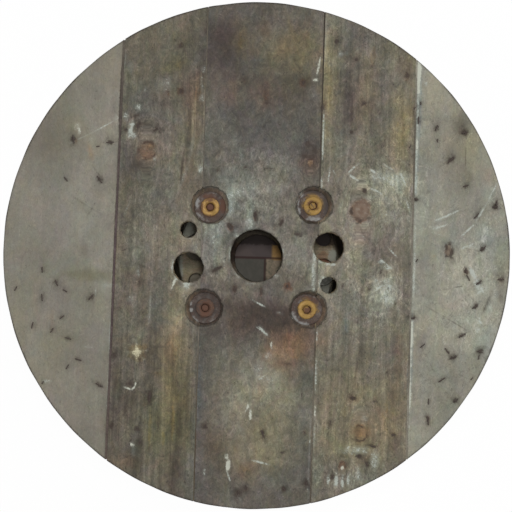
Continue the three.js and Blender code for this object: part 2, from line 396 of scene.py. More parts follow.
def oval(x, y, place, size, turn=0.0, soft=0.5, ragged=0.35, seed=1):
    """1 inside an oval of this half width and half length in millimetres, fading out over a ragged edge."""
    angle = math.radians(turn)
    dx, dy = x - place[0] * MM, y - place[1] * MM
    u = (dx * math.cos(angle) + dy * math.sin(angle)) / (size[0] * MM)
    v = (dy * math.cos(angle) - dx * math.sin(angle)) / (size[1] * MM)
    uneven = cloud(x, y, max(3.0, 0.7 * min(size)) * MM, seed)
    return 1 - smooth_step(np.hypot(u, v) + ragged * uneven, 1 - soft, 1 + soft)


def stroke(x, y, start, end, width, soft=0.5, ragged=0.35, seed=1):
    """1 along a line between two places, of this half width in millimetres."""
    length = math.dist(start, end)
    turn = math.degrees(math.atan2(end[1] - start[1], end[0] - start[0])) - 90
    middle = ((start[0] + end[0]) / 2, (start[1] + end[1]) / 2)
    return oval(x, y, middle, (width, length / 2), turn, soft, ragged, seed)


def slit(x, y, nail, grow=1.0, seed=3):
    """How deep in a nail's slit each point lies, 1 at its bottom; some have a second split across it."""
    px, py, turn, length, width, _ = nail
    depth = oval(x, y, (px, py), (0.86 * length * grow, 1.12 * width * grow), turn, 0.95, 0.8, seed)
    if seed % 3 == 1:
        size = (0.75 * length * grow, 0.6 * width * grow)
        across = oval(x, y, (px + 1, py - 0.8), size, turn + 62, 0.75, 0.5, seed + 7)
        depth = np.maximum(depth, 0.85 * across)
    return depth


def knot_mask(x, y, place, radius, in_core, on_ring):
    """How strongly a knot shows, where its core and the dark ring round it show this strongly."""
    distance = np.hypot(x - place[0] * MM, (y - place[1] * MM) * 0.92) / (radius * MM)
    distance += 0.2 * cloud(x, y, 7 * MM, int(radius * 7))
    core = 1 - smooth_step(distance, 0.72, 1.0)
    gaps = smooth_step(cloud(x, y, 9 * MM, int(radius * 5)), -0.75, 0.35)
    ring = gaps * np.exp(-(((distance - 0.9) / 0.19) ** 2))
    return np.maximum(in_core * core, on_ring * ring)


class Surface:
    """Everything that marks one face: knots, nails, stains, and the height that weather and wear leave."""

    def __init__(
        self, seed, knots=(), nails=(), spots=(), lines=(), tones=(), dents=(), streaked=(), scuffed=(),
    ):
        self.seed, self.knots, self.nails, self.spots = seed, knots, nails, list(spots)
        self.lines, self.tones, self.dents = lines, tones, dents
        self.streaked, self.scuffed = streaked, scuffed

    def details(self):
        """Extra points, so that the small marks keep their shape."""
        close = []

        def encircle(px, py, turn, wide, high, rings, count):
            c, s = math.cos(math.radians(turn)), math.sin(math.radians(turn))
            for ring in rings:
                number = count or max(6, int(12 * ring))
                angle = np.arange(number) * 2 * math.pi / number + ring
                u, v = ring * wide * np.cos(angle), ring * high * np.sin(angle)
                close.append(np.stack([px + u * c - v * s, py + u * s + v * c], 1))

        for nail in self.nails:
            encircle(*nail[:5], (0.25, 0.6, 0.95, 1.3), None)
        for px, py, width, length, turn, _ in self.dents:
            encircle(px, py, turn, width, length, (0.3, 0.65, 1.0, 1.25), 14)
        for kind, x0, y0, x1, y1, width, _ in self.lines:
            if kind not in ("pale", "fresh", "dirt") or width > 1.8:
                continue
            start, end = (x0, y0), (x1, y1)
            count = max(2, int(math.dist(start, end) / 1.6))
            t = np.linspace(0, 1, count)[:, None]
            line = np.array(start) * (1 - t) + np.array(end) * t
            across = np.array([end[1] - start[1], start[0] - end[0]]) / math.dist(start, end)
            close += [line + across * width * side for side in (-1.4, -0.5, 0.5, 1.4)]
        return np.concatenate(close) * MM if close else np.zeros((0, 2))

    def layers(self, x, y):
        """How strongly each kind of mark shows at each point, from 0 to 1."""
        found = {name: np.zeros_like(x) for name in LAYERS}

        def lay(name, reach, place, mask):
            near = (np.abs(x - place[0] * MM) < reach * MM) & (np.abs(y - place[1] * MM) < reach * MM)
            if near.any():
                found[name][near] = 1 - (1 - found[name][near]) * (1 - np.clip(mask(x[near], y[near]), 0, 1))

        for i, (name, px, py, wide, high, strength, *turn) in enumerate(self.spots):
            place, shape = (px, py), ((px, py), (wide, high), sum(turn), 0.55, 0.45, i + 20)
            lay(name, 2 * max(wide, high), place, lambda u, v: strength * oval(u, v, *shape))
        for i, (name, x0, y0, x1, y1, width, strength) in enumerate(self.lines):
            middle, shape = ((x0 + x1) / 2, (y0 + y1) / 2), ((x0, y0), (x1, y1), width, 0.5, 0.4, i + 60)
            reach = math.dist((x0, y0), (x1, y1)) + 3 * width
            lay(name, reach, middle, lambda u, v: strength * stroke(u, v, *shape))
        for i, nail in enumerate(self.nails):
            place, strength = nail[:2], nail[5]
            lay("umber", 20, place, lambda u, v: 0.95 * strength * slit(u, v, nail, 1.1, i))
            lay("dirt", 30, place, lambda u, v: 0.75 * strength * slit(u, v - 1.6 * MM, nail, 2.4, i))
        for place, radius, (core, ring, redness, warmth) in self.knots:
            for name, *strengths in (
                ("knot", core, 0), ("umber", 0, 0.68 * ring), ("dirt", 0, 0.7 * ring),
                ("rust", 0.7 * redness, redness), ("ochre", warmth, 0),
            ):
                lay(name, 3 * radius, place, lambda u, v: knot_mask(u, v, place, radius, *strengths))
        return found

    def tone(self, x, y):
        """What the broad tones do to the wood's colour at each point."""
        found = np.ones((len(x), 3))
        for i, (name, px, py, wide, high, strength, *turn) in enumerate(self.tones):
            reach = 2.6 * max(wide, high) * MM
            near = (np.abs(x - px * MM) < reach) & (np.abs(y - py * MM) < reach)
            if near.any():
                mask = oval(x[near], y[near], (px, py), (wide, high), sum(turn), 0.85, 0.55, i + 200)
                found[near] *= np.array(TONES[name]) ** (strength * mask)[:, None]
        return found

    def strongest(self, x, y, areas):
        """How strongly the nearest of these areas applies at each point: streaked ones, or scuffed ones."""
        found = np.zeros_like(x)
        for i, (px, py, wide, high, strength) in enumerate(areas):
            found = np.maximum(found, strength * oval(x, y, (px, py), (wide, high), 0, 0.8, 0.3, i + 5))
        return found

    def knot_field(self, x, y):
        """How far each point is from the nearest knot's middle, as a share of that knot's radius."""
        nearest = np.full_like(x, 4.0)
        for i, (place, radius, _) in enumerate(self.knots):
            dx, dy = x - place[0] * MM, (y - place[1] * MM) * 0.92
            lobes = 1 + 0.1 * ripple(np.arctan2(dy, dx), i + 40, (2, 3, 5))
            nearest = np.minimum(nearest, np.hypot(dx, dy) / (radius * MM * lobes))
        return nearest

    def bend(self, p, q, along_y=True):
        """Where the grain runs: its place across the board, pushed round each knot."""
        across = p + 3.5 * MM * cloud(p * 0.6, q * 0.16, 60 * MM, self.seed + 3, 2)
        for (kx, ky), radius, _ in self.knots:
            kp, kq = (kx * MM, ky * MM) if along_y else (ky * MM, kx * MM)
            reach = radius * MM
            away = p - kp
            push = np.exp(-(((q - kq) / (3.4 * reach)) ** 2)) * np.exp(-((away / (2.6 * reach)) ** 2))
            across -= np.tanh(away / (0.5 * reach)) * 0.9 * reach * push
        return across

    def height(self, x, y, p, q, clear, ease):
        """How far the worn face lies below the sawn one; ease is how far each edge is worn round."""
        worn = ease * (1 + 0.7 * cloud(x, y, 16 * MM, self.seed + 1))
        inside = np.clip(worn - clear, 0, None)
        low = worn - np.sqrt(np.clip(worn**2 - inside**2, 0, None))
        low += 0.22 * MM * (1 + cloud(p, q * 0.08, 7 * MM, self.seed + 2, 2))
        low += 0.3 * MM * (1 + cloud(x, y, 70 * MM, self.seed + 4, 2))
        for nail in self.nails:
            near = (np.abs(x - nail[0] * MM) < 12 * MM) & (np.abs(y - nail[1] * MM) < 12 * MM)
            low[near] += 1.7 * nail[5] * MM * slit(x[near], y[near], nail) ** 0.7
        for px, py, width, length, turn, deep in self.dents:
            near = np.hypot(x - px * MM, y - py * MM) < 2.5 * max(width, length) * MM
            low[near] += deep * MM * oval(x[near], y[near], (px, py), (width, length), turn, 0.4, 0.3, 7)
        for place, radius, _ in self.knots:
            near = np.hypot(x - place[0] * MM, y - place[1] * MM) < 2 * radius * MM
            distance = np.hypot(x[near] - place[0] * MM, y[near] - place[1] * MM) / (radius * MM)
            low[near] += 0.7 * MM * np.exp(-(((distance - 0.95) / 0.16) ** 2))
        return low


def numbers(text):
    """Rows of numbers, with commas between the rows."""
    return [tuple(map(float, row.split())) for row in text.split(",")]


def listed(table):
    """Every mark of a table, as its kind and its numbers; commas stand between the marks."""
    return [(kind, *row) for kind, marks in table.items() for row in numbers(marks)]


# Each knot is its place and radius in millimetres, then how strongly its core, its dark ring, its redness and
# its warmth show. Each nail is its place, the turn of its slit in degrees, half its length and width, and how
# dark it is. Each spot or tone is its place, half its width and height, its strength and its turn; each line
# is where it starts and ends, half its width and its strength.
UPPER_KNOTS = (
    ((-177, 161), 14.5, (0.3, 1.0, 0.7, 0.3)),
    ((163, 76), 16.5, (0.8, 1.0, 0.95, 0)),
    ((172, -275), 11.5, (0.15, 1.0, 0.4, 0)),
    ((81, 149), 6.5, (0.5, 0.8, 0.7, 0.5)),
    ((145, -327), 6, (0.3, 0.8, 0.8, 0.2)),
)
UPPER_NAILS = [tuple(nail) for _, *nail in listed({
    "the ring about the spindle hole": """
    -4 63 97 8 2.6 1, -43 45 125 8 3 1, 37 53 70 8 3 .85, -61 -22 25 8.5 2.6 1, 64 36 160 5.5 3.2 .75,
    -33 -53 75 5 2.8 .85, 9 -57 92 8 2.4 .7, 50 -46 100 4.5 3.4 .6""",
    "the left edge board": """
    -294 175 100 7.5 3.6 .75, -236 172 4 7 3 .7, -251 113 125 7.5 3.2 .7, -304 112 130 5 1.8 .4,
    -255 165 10 3 1.8 .35, -337 -32 95 5 3.8 .45, -314 -52 115 6 4 .6, -300 -64 150 4.4 1.8 .4,
    -259 -73 50 6 2.8 .75, -336 -76 95 6.5 3.4 .5, -378 -63 60 4.6 2.6 .4, -304 -106 40 5 3.2 .5,
    -319 -127 60 5 3.4 .55, -350 -120 80 6 4.4 .4, -293 -139 165 6 2.6 .55, -276 -172 165 6 2.6 .5,
    -293 -184 60 5 4 .4, -242 -211 155 7 2.4 .7, -331 -210 60 3 2 .4, -220 -163 30 5.5 4 .7""",
    "the right edge board": """
    278 210 65 5.5 2.4 .7, 322 204 15 4.6 3.4 .95, 302 160 45 6.5 2.4 .85, 327 120 20 5 3.2 .65,
    374 88 10 5 2.8 .95, 376 94 80 5 1.8 .7, 345 73 50 6.5 2.2 .65, 357 22 40 6 2.8 .95,
    331 -14 95 4.6 3 .95, 335 -25 120 6 2 .45, 352 -32 40 6 2.4 .85, 386 -26 5 6 3 .7, 347 -70 35 6 2.2 .85,
    328 -116 30 6.5 1.9 .8, 266 -134 40 5.6 4 .5, 315 -151 25 7 2.4 .85, 305 -141 130 6 1.8 .45,
    357 -141 165 5 3.4 .85, 355 -150 80 4 2.4 .4, 298 -187 35 7 2.6 .6, 345 -184 50 3 2 .3,
    321 -219 30 4.8 3.2 .85, 278 -222 90 5.6 2.6 .4, 278 -252 100 8 2.8 .7, 248 97 160 5 2.6 .9,
    243 240 60 6 4 .6, 249 221 90 6.5 2.6 .65, 252 248 90 3 2.4 .5, 248 -91 5 5.6 2.4 .9, 280 190 90 3 2 .3,
    253 0 60 3 2 .35""",
    "the second board": """
    -130 328 80 5 4 .6, -127 256 85 5.5 3 .75, -147 254 60 4 3 .55, -165 194 30 5 3 .8, -158 190 130 4 2 .5,
    -212 193 20 4.4 2.8 .8, -193 199 80 6 3 .75, -162 -228 84 11.5 2.8 1, -180 -278 85 5.5 3 .7,
    -175 -300 80 4.6 2.4 .7, -222 -275 70 5.5 3 .7, -170 -268 80 4 2 .4, -183 -46 85 5 2.4 .6,
    -181 -24 80 4 2 .45, -209 3 10 6.5 1.8 .5, -191 -303 90 4 2 .6""",
    "the middle board": """
    -28 277 80 5 4 .5, 66 275 80 5.5 4 .7, 7 256 100 9 2.6 .45, 9 241 80 4 2.6 .5, 97 236 60 4 3 .8,
    18 -280 108 8 2.4 .95, -18 -375 80 5 4.2 1, -6 -366 80 4.4 2.6 .85, 54 -366 130 5 3.2 .9,
    89 -357 80 3.8 3.6 1, -73 -272 65 5 2.6 .75, 78 -217 90 7 2 .5, 50 -309 5 6 1.6 .5, 84 -276 120 4 2 .4,
    -65 132 20 4.6 2.4 .55, -21 139 10 3.6 2.2 .55, 30 208 150 4 1.6 .4, -3 354 80 5 4 .35""",
    "the fourth board": """
    116 342 84 6.5 2.6 .85, 148 314 60 4 3 .8, 162 245 20 5.5 4 .75, 229 291 84 8 3 .7, 208 276 40 5 3 .5,
    172 304 20 3.6 2.4 .5, 143 199 80 3 2.4 .8, 237 179 60 5 4 .55, 188 230 85 7 2.6 .4,
    195 178 85 5 3.6 .35, 168 108 30 4 3 .9, 158 -220 85 3.8 3.2 1, 194 -224 30 6 4 .5, 124 -260 88 8 2 .55,
    193 -295 170 6 2.2 .9, 171 -311 165 6 2.2 .9, 184 -324 100 5.5 2.4 .8, 224 -276 170 5 1.8 .7,
    197 -20 85 6 2.4 .5, 221 -95 88 8 1.6 .4, 222 -69 60 5 2.4 .5, 137 -44 80 4 2 .45, 180 -47 20 4 2 .5,
    130 -345 60 5 3 .7, 162 -100 30 4 2 .45, 148 -53 60 4 2.6 .35""",
})]
TONES = {  # what each broad tone does to the wood's colour
    "bleach": (1.52, 1.61, 1.6), "tan": (1.3, 1.22, 1.04), "olive": (0.98, 1.0, 0.84),
    "slate": (0.86, 0.93, 1.01), "plum": (0.76, 0.7, 0.73), "soot": (0.56, 0.55, 0.55),
    "russet": (1.08, 0.84, 0.73),
}
UPPER_TONES = listed({
    "bleach": """
    -36 82 46 44 .95, -12 56 12 22 .6, -66 22 24 44 1, -44 78 8 34 .5, -58 -14 26 24 .5, 30 84 44 40 .6,
    66 4 34 54 1, 91 -28 6 40 .8, 0 -50 70 12 .4, 6 152 44 18 .4, -20 122 50 18 .4, 20 -190 60 42 .75,
    26 -262 56 76 .75, -40 -210 26 60 .35, 110 20 10 60 .5, 200 112 42 34 .95, 214 126 24 16 .7,
    186 72 66 44 .5, 204 -46 20 28 1, 188 -78 26 34 .45, 150 -30 50 70 .35, -192 12 16 28 .65,
    -130 30 18 70 .5, -122 -110 13 50 .7, -136 150 26 28 .4, -186 88 34 26 .35, -206 190 11 18 .5,
    -256 50 36 110 .34, -300 -60 50 120 .1, -233 -56 12 9 .4, 345 -60 46 70 .42, 334 14 40 44 .24,
    362 -84 26 44 .3, 290 56 30 22 .2, 156 -345 42 18 .5, 196 -318 10 18 .5, 160 -302 30 10 .4,
    -92 134 7 11 .7, 100 330 8 50 .3, 196 -158 10 34 .2, -112 -54 8 10 .6, 120 -90 16 40 .2,
    172 -52 26 20 .25""",
    "tan": """
    30 -256 50 70 .6, -38 334 12 26 .7, 55 330 44 36 1, 58 -142 34 27 .7 8, 104 262 12 74 .95,
    222 214 22 56 .95, 150 -240 44 56 .5, 208 -240 40 56 .5, 172 -290 76 34 .5, -122 -170 20 100 1,
    -128 -280 16 60 .5, -182 -154 13 8 .6, -164 336 30 18 .3, -116 100 16 80 .4, -104 200 9 66 .5,
    -330 190 50 90 .08, -270 230 40 50 .05, 275 262 30 26 .35, 322 186 34 50 .32, 300 210 40 50 .2,
    -243 -88 12 18 .35, -300 -200 50 60 .14, 165 300 16 50 .3, 168 180 24 50 .1, 0 250 60 26 .2,
    -10 -332 44 26 .5, 236 -150 10 70 .4, 110 30 14 70 .35, 72 -40 24 44 .25, 300 -240 50 40 .12""",
    "olive": """
    -132 298 12 14 .8, -152 290 12 9 .6, -158 -280 14 40 .8, -214 -198 6 20 .7, -104 -250 9 66 .8,
    40 310 44 36 .75, -30 345 12 22 .6, 24 -230 56 60 .35, 108 236 14 50 .5, 222 214 18 44 .45,
    20 -300 50 40 .45, -128 -240 18 80 .6, -165 -270 40 90 .35, 170 -300 60 40 .5, -260 -38 36 8 .8,
    -372 -116 16 40 .4, -350 -40 20 40 .25, -312 -150 22 40 .2, -294 196 12 16 .4, 340 176 24 30 .4,
    388 -2 10 26 .6, 290 -120 30 60 .2, -180 310 46 40 .25, 220 330 30 20 .4, 140 -180 50 60 .3,
    -40 -240 26 90 .3""",
    "slate": """
    6 200 74 50 .75, -60 130 34 26 .4, -30 60 50 50 .3, -190 240 18 22 .7, -165 266 8 12 .5,
    -150 100 26 30 .5, -205 145 18 22 .5, -192 8 16 30 .4, -150 -80 14 44 .5, -84 -210 6 96 .8,
    -184 -296 8 24 .5, -20 380 12 12 .6, 32 372 18 14 .5, -8 306 14 8 .7, 145 -105 5 26 .8, 190 -66 24 40 .4,
    148 350 22 22 .6, 137 186 9 44 .4, 200 230 9 20 .5, 190 320 12 40 .3, 52 -352 40 18 .4, 86 -230 12 90 .6,
    -325 100 18 30 .4, -340 0 10 60 .2, 366 -126 12 20 .7, 358 46 12 24 .5, 374 108 10 20 .5, 309 55 4 22 .6,
    253 -245 8 18 .7, 254 240 5 60 .5, 385 34 14 40 .3, 268 60 16 20 .2, 150 -330 50 24 .3,
    -90 -340 14 40 .4, 106 -270 6 60 .5, -280 80 20 50 .14, 300 168 12 12 .3""",
    "plum": """
    52 -170 34 5 .6 8, 24 -140 4 22 .4, 163 94 14 4 .4, 148 78 3 12 .5, -62 322 26 42 .9, -66 352 20 14 .5,
    20 -92 62 17 .9 -6, -20 -116 40 18 .6, -148 236 20 11 .6, -110 262 16 26 .4, -206 142 18 28 .6,
    -150 84 24 34 .4, -117 -344 11 32 .9, -200 -262 22 34 .5, 78 174 18 18 .7, 80 150 24 20 .5,
    140 226 8 46 .7, 139 280 11 44 .3, 226 -292 9 16 1, 176 26 9 30 .8 36, 206 22 16 20 .6,
    164 -176 5 44 .5 -9, 222 -180 7 70 .4, 114 -146 8 30 .4, -36 -352 40 22 .3, -62 -306 26 34 .4,
    160 100 12 12 .5, 48 -40 22 16 .4, -272 2 6 10 .6, 263 -122 8 16 .35, -232 228 4 20 .4, 275 222 5 14 .35,
    -170 -330 50 20 .3, 62 368 30 8 .3, -96 268 5 40 .6, 148 352 14 22 .5, -188 196 14 22 .4,
    -150 40 12 60 .2, 50 250 30 30 .2""",
    "soot": """
    -340 200 50 70 .26, 310 220 40 70 .3, 165 280 80 100 .22, -170 -290 60 90 .28, 170 -270 70 80 .13,
    10 -100 74 30 .34, 300 -250 60 50 .26, 0 270 90 60 .12, 14 -88 58 12 .5 -6, -60 322 20 34 .3,
    139 264 13 60 .7, 190 296 12 54 .55, 30 -108 36 9 .5, -104 -240 8 62 .6, -113 -290 5 60 .6,
    -102 345 18 30 .3, 318 217 13 17 .6, 326 133 11 17 .35, 348 88 8 14 .3, 300 169 11 11 .25,
    -112 205 3 46 .6, -122 128 3.4 26 .6 8, -150 -266 4 26 .4, -198 -230 16 13 .5, -198 -208 18 14 .4,
    -260 -38 34 8 .42, 305 14 10 17 .55, 386 -46 6 14 .6, 384 -14 9 13 .5, 104 -220 6 44 .5,
    -30 214 18 20 .35, 12 190 20 16 .3, 150 -60 10 12 .25, -184 -158 18 18 .4, -188 58 8 40 .2,
    -205 100 16 40 .25, 70 -345 24 14 .25, -120 -226 3 40 .4, 232 262 12 60 .2, 246 232 6 26 .5,
    -340 -30 20 30 .1, 365 -66 3.4 18 .5 -20, -178 130 18 7 .5 -20, 80 -180 18 30 .3, -76 120 14 20 .2,
    216 -120 12 40 .2, -72 -160 14 40 .2, 118 -320 14 14 .3""",
    "russet": """
    58 -142 34 27 1.1 8, 80 -126 16 26 .6, 10 -96 70 24 .4, -177 155 15 13 .7, 172 -277 12 11 .8,
    163 74 16 15 .5, 230 -228 12 34 .2, 200 -256 30 20 .3, -110 256 14 26 .4, 10 252 26 24 .35,
    -28 266 26 18 .3, 80 148 16 14 .6, -266 154 4.4 13 .5 16, 232 308 14 18 .35, 50 -48 7 7 .8,
    -60 -300 24 30 .25, 0 352 12 14 .4, 70 275 9 10 .4, 145 -328 7 7 .6, -340 200 30 60 .1, -6 -338 14 10 .4,
    -46 252 14 20 .3, 162 262 16 40 .2, -319 -112 3 16 .3, -130 -150 8 20 .3, 366 132 10 12 .3,
    290 46 8 8 .25, -200 -332 24 14 .4, 228 -150 5 40 .4, -22 330 10 20 .3""",
})
UPPER_SPOTS = listed({
    "pale": """
    -44 84 7 22 .5, -12 54 6 14 .6, -66 30 12 26 .35, -30 98 12 8 .4, 91 -24 3.4 30 .7, 60 10 18 22 .3,
    -204 195 4 11 .9 -14, -201 184 7 5 .8, -194 229 4.4 4.4 .75, -212 214 5 6 .5, -206 292 5 8 .3,
    -165 150 3 4.4 .6, -92 134 4.4 7 .7, -93 246 4.6 5 .5, -92 291 4 5 .45, -150 266 9 10 .3,
    214 127 18 11 .6, 186 130 8 11 .55, 200 100 16 12 .35, 206 70 12 12 .3, 190 -38 6 9 .6, 206 -48 12 18 .6,
    212 -66 8 9 .4, 185 -59 6 6 .5, 196 -4 4.6 3 .9, 209 -12 8 3.6 .6, 123 322 4 4 .7, 133 323 3 3 .4,
    178 -251 5 5 .55, 136 -351 3 12 .9, 146 -352 2.8 10 .85, 155 -349 2.6 9 .8, 124 -350 2.6 8 .8,
    196 -318 6 14 .65, 162 -302 20 6 .6, 170 -338 3 9 .7, -109 -52 6 7 .6, -120 -34 4 5 .4, 24 -157 7 6 .5,
    10 -182 12 12 .4, 28 -196 18 14 .3, -325 -208 6 2.6 .6, -232 -53 9 3.4 .45, -262 -151 8 2 .5,
    -228 210 4.4 6 .5, -266 177 3 3 .4, 341 -17 4 10 1 38, 350 -33 6 9 .8 38, 355 -43 6 6 .7,
    284 52 7 4.4 .5, 341 24 8 2.6 .6, 352 -106 4 4 .8, 357 -95 4 3 .7, 330 2 7 10 .3, 260 279 2.6 4.4 .6,
    376 -60 4 18 .4 -22, 352 -92 4 10 .4 -22, 373 -133 2 2 .7, 355 13 3 4 .4, -185 -31 2 8 .6,
    -196 -72 6 7 .35, -188 -31 2 4 .3, -20 108 14 6 .35, 26 104 16 8 .2, 100 168 1.6 12 .6, -31 29 3 5 .7 40,
    -27 -34 4 2.6 .6 40, -39 9 1.6 6 .5, -8 -44 9 1.4 .5, 42 8 1.6 6 .4, -174 -168 3 3 .5,
    -185 -312 2.6 10 .3, -8 74 3 6 .35, -72 -342 2 5 .6, -72 -353 1.6 2.6 .5, -96 12 5 9 .3,
    -131 -20 2.6 10 .75, -126 -40 3 4 .7, -107 -47 9 2.6 .6, -84 -12 2.4 8 .4, 101 -6 5 4 .7,
    117 -9.5 9 3 .75, 91 0 3 8 .6, 137 6 2.4 7 .5, 102 -40 2.6 9 .8, 108 -31 6 2.6 .6, -120 36 2.2 7 .4,
    -108 25 6 2 .4, -30 -29 5 3 .5, -42 2 2 12 .6, 31 -30 6 3 .5, 20 39 9 2.4 .4""",
    "fresh": """
    -288 196 5 6 .5, -285 188 2.4 6 .6, -185 -151 2.8 11 .5, -184 -163 3 8 .45, -177 -155 10 2.4 .4,
    -184 -157 6.5 6 .5, -191 -158 8 2.8 .4, -188 -303 4 3 .9, -2 -251 2.4 7.5 .95, -6 -238 3.4 5 .6,
    -35 -331 3.4 10 1, -38 -318 3 4 .6, 85 280 4.4 2.6 .7, 145 -330 2.4 3 .8, 28 -140 2 5 .6,
    247.6 300 3.6 22 1, 247.6 274 3 18 .8, 248 182 1.8 9 .9, 248.4 -120 2.4 25 1, 248 -212 2.6 23 1,
    248 -168 1.8 22 .5, 99.6 -244 1.4 10 .85, 249 -10 1.8 14 .3""",
    "umber": """
    299 22 2.2 6 .9, 307 13 2.4 6 .85, 301 8 4.5 1.5 .8, 305 26 4 1.5 .7, -197 215 8 2.6 .7 14,
    -187 206 3 5 .4, -207 186 3 3 .5, -146 283 11 1.8 .4 6, -142 232 8 6 .3, -176 -157 12 4 .3,
    -192 -160 5 8 .35, -178 -168 6 3 .5, -152 -183 9 1.8 .55 14, -195 -207 7 4 .6, -200 -250 5 12 .55,
    -186 138 12 4 .4 -30, 76 178 5 6 .6, 86 168 6 7 .6, 70 160 5 4 .55, 80 159 10 2.4 .6, 16 138 10 1.6 .6,
    10 170 12 1.4 .35 -10, 52 -168 9 3 .5, 44 -88 16 8 .25, 143 228 4 15 .5, 131 218 4 4 .35,
    213 -176 2.4 10 .5, 182 12 2 12 .4 34, 172 34 2 10 .4 40, 309 17 2.6 6 .6, 299 11 2.4 5 .5,
    308 5 4 2.2 .6, 304 29 5.5 2 .6, 297 24 1.8 4 .4, 304 19 3.6 1.8 .4, 362 -74 1.8 9 .4 -24,
    386 -52 3 6 .4, 120 -338 9 1.8 .55, 160 62 6 2 .3, 147 76 3 4 .6, 175 64 4 3 .5, 176 88 5 1.6 .45 -40,
    -220 -275 3 5 .6, -50 -333 3 2.6 .4, 172 -270 7 1.2 .4, -36 22 2 8 .6 -30, -40 0 1.6 9 .5,
    24 -33 6 1.6 .4 20, -136 -40 3 5 .5, 66 92 2 4 .5, -46 60 2 3 .3, -104 100 3 4 .3, 84 -304 2 8 .35,
    22 -342 3 2 .3, -160 -112 1.6 14 .35, -171 -90 1.8 10 .4, 48 -309 5 1.4 .3""",
    "ochre": """
    -130 298 8 8 .45, -150 290 6 4 .4, -124 -266 3 34 .7, -138 -292 3 14 .6, -150 -190 7 4 .5,
    -122 -140 9 40 .4, 106 262 6 54 .4, 222 206 12 34 .4, 50 330 20 20 .35, 68 350 8 10 .4, -36 336 6 16 .5,
    -266 154 3 12 .4 16, 175 320 7 18 .5, 150 -236 20 30 .35, 214 -240 14 40 .4, -184 -157 15 15 1,
    -96 268 2.4 24 .45, -130 330 5 5 .2, 38 -258 26 40 .3, 8 -306 12 18 .35, -6 -338 8 5 .5, 66 -158 8 3 .5,
    173 -278 6 6 .4, -172 168 7 6 .3, 81 149 3 3 .6, -159 -270 4 30 .4, 110 -250 6 30 .3, 330 190 10 24 .2,
    -147 250 4 6 .4""",
    "rust": """
    303 17 6 9 .8, 281 8 3 3 .5, -127 256 6 8 .6, -150 250 7 7 .35, -28 276 7 8 .4, 66 275 7 8 .6,
    8 250 7 16 .5, -130 328 7 7 .4, -4 60 3 8 .6, -42 43 5 6 .7 35, 50 -46 5 5 .9, 56 -52 4 4 .6,
    9 -56 3 9 .6, -33 -52 4 6 .6, -290 173 3 6 .5, 331 -16 5 6 .5, 229 290 5 8 .4, 62 -134 26 16 .2,
    40 -158 16 4 .3, 163 76 13 13 .35, 145 -323 5 3 .6, -222 -30 3 60 .3, 278 -250 4 7 .4, 162 244 6 5 .4,
    -60 -308 10 10 .25, 84 -276 5 5 .4, -16 258 10 8 .3, -44 254 6 8 .3, 26 262 10 10 .2, 170 -262 9 2 .5,
    -132 -64 5 6 .4, 386 -28 5 5 .4""",
    "cool": """
    -84 -210 4 84 .45, -184 -308 5 12 .4, 145 -104 3 20 .5, 206 -52 14 20 .35, -66 24 16 30 .4,
    -44 82 6 24 .5, -12 52 6 14 .4, 214 128 14 8 .4, -130 148 4 10 .4, 196 -4 6 4 .5, 248 -122 3 26 .4,
    -226 -136 2 30 .6, 350 -34 6 10 .4, 30 372 10 8 .35, -8 308 10 5 .4""",
    "dirt": """
    -222 -163 5 6 .5, 8 -90 40 8 .35 -6, -60 318 12 28 .4, 78 172 12 14 .4, 140 250 6 40 .35,
    -117 -346 6 20 .4, -243 184 5 10 .3 30, 226 -290 6 12 .35, 178 26 5 20 .35 36, -206 140 10 16 .25,
    318 214 7 10 .35, 160 98 9 6 .3, -148 235 12 6 .35, 256 -245 5 8 .3, 305 14 7 14 .35, -196 -152 3 6 .3,
    120 -344 12 8 .3, -296 138 2 12 .2, -373 -13 7 1.6 .3, -371 -22 6 1.6 .3, 366 -122 6 12 .25,
    -36 -120 20 8 .3, -210 -300 8 20 .25, 102 -350 6 16 .25, -212 330 6 16 .2""",
})
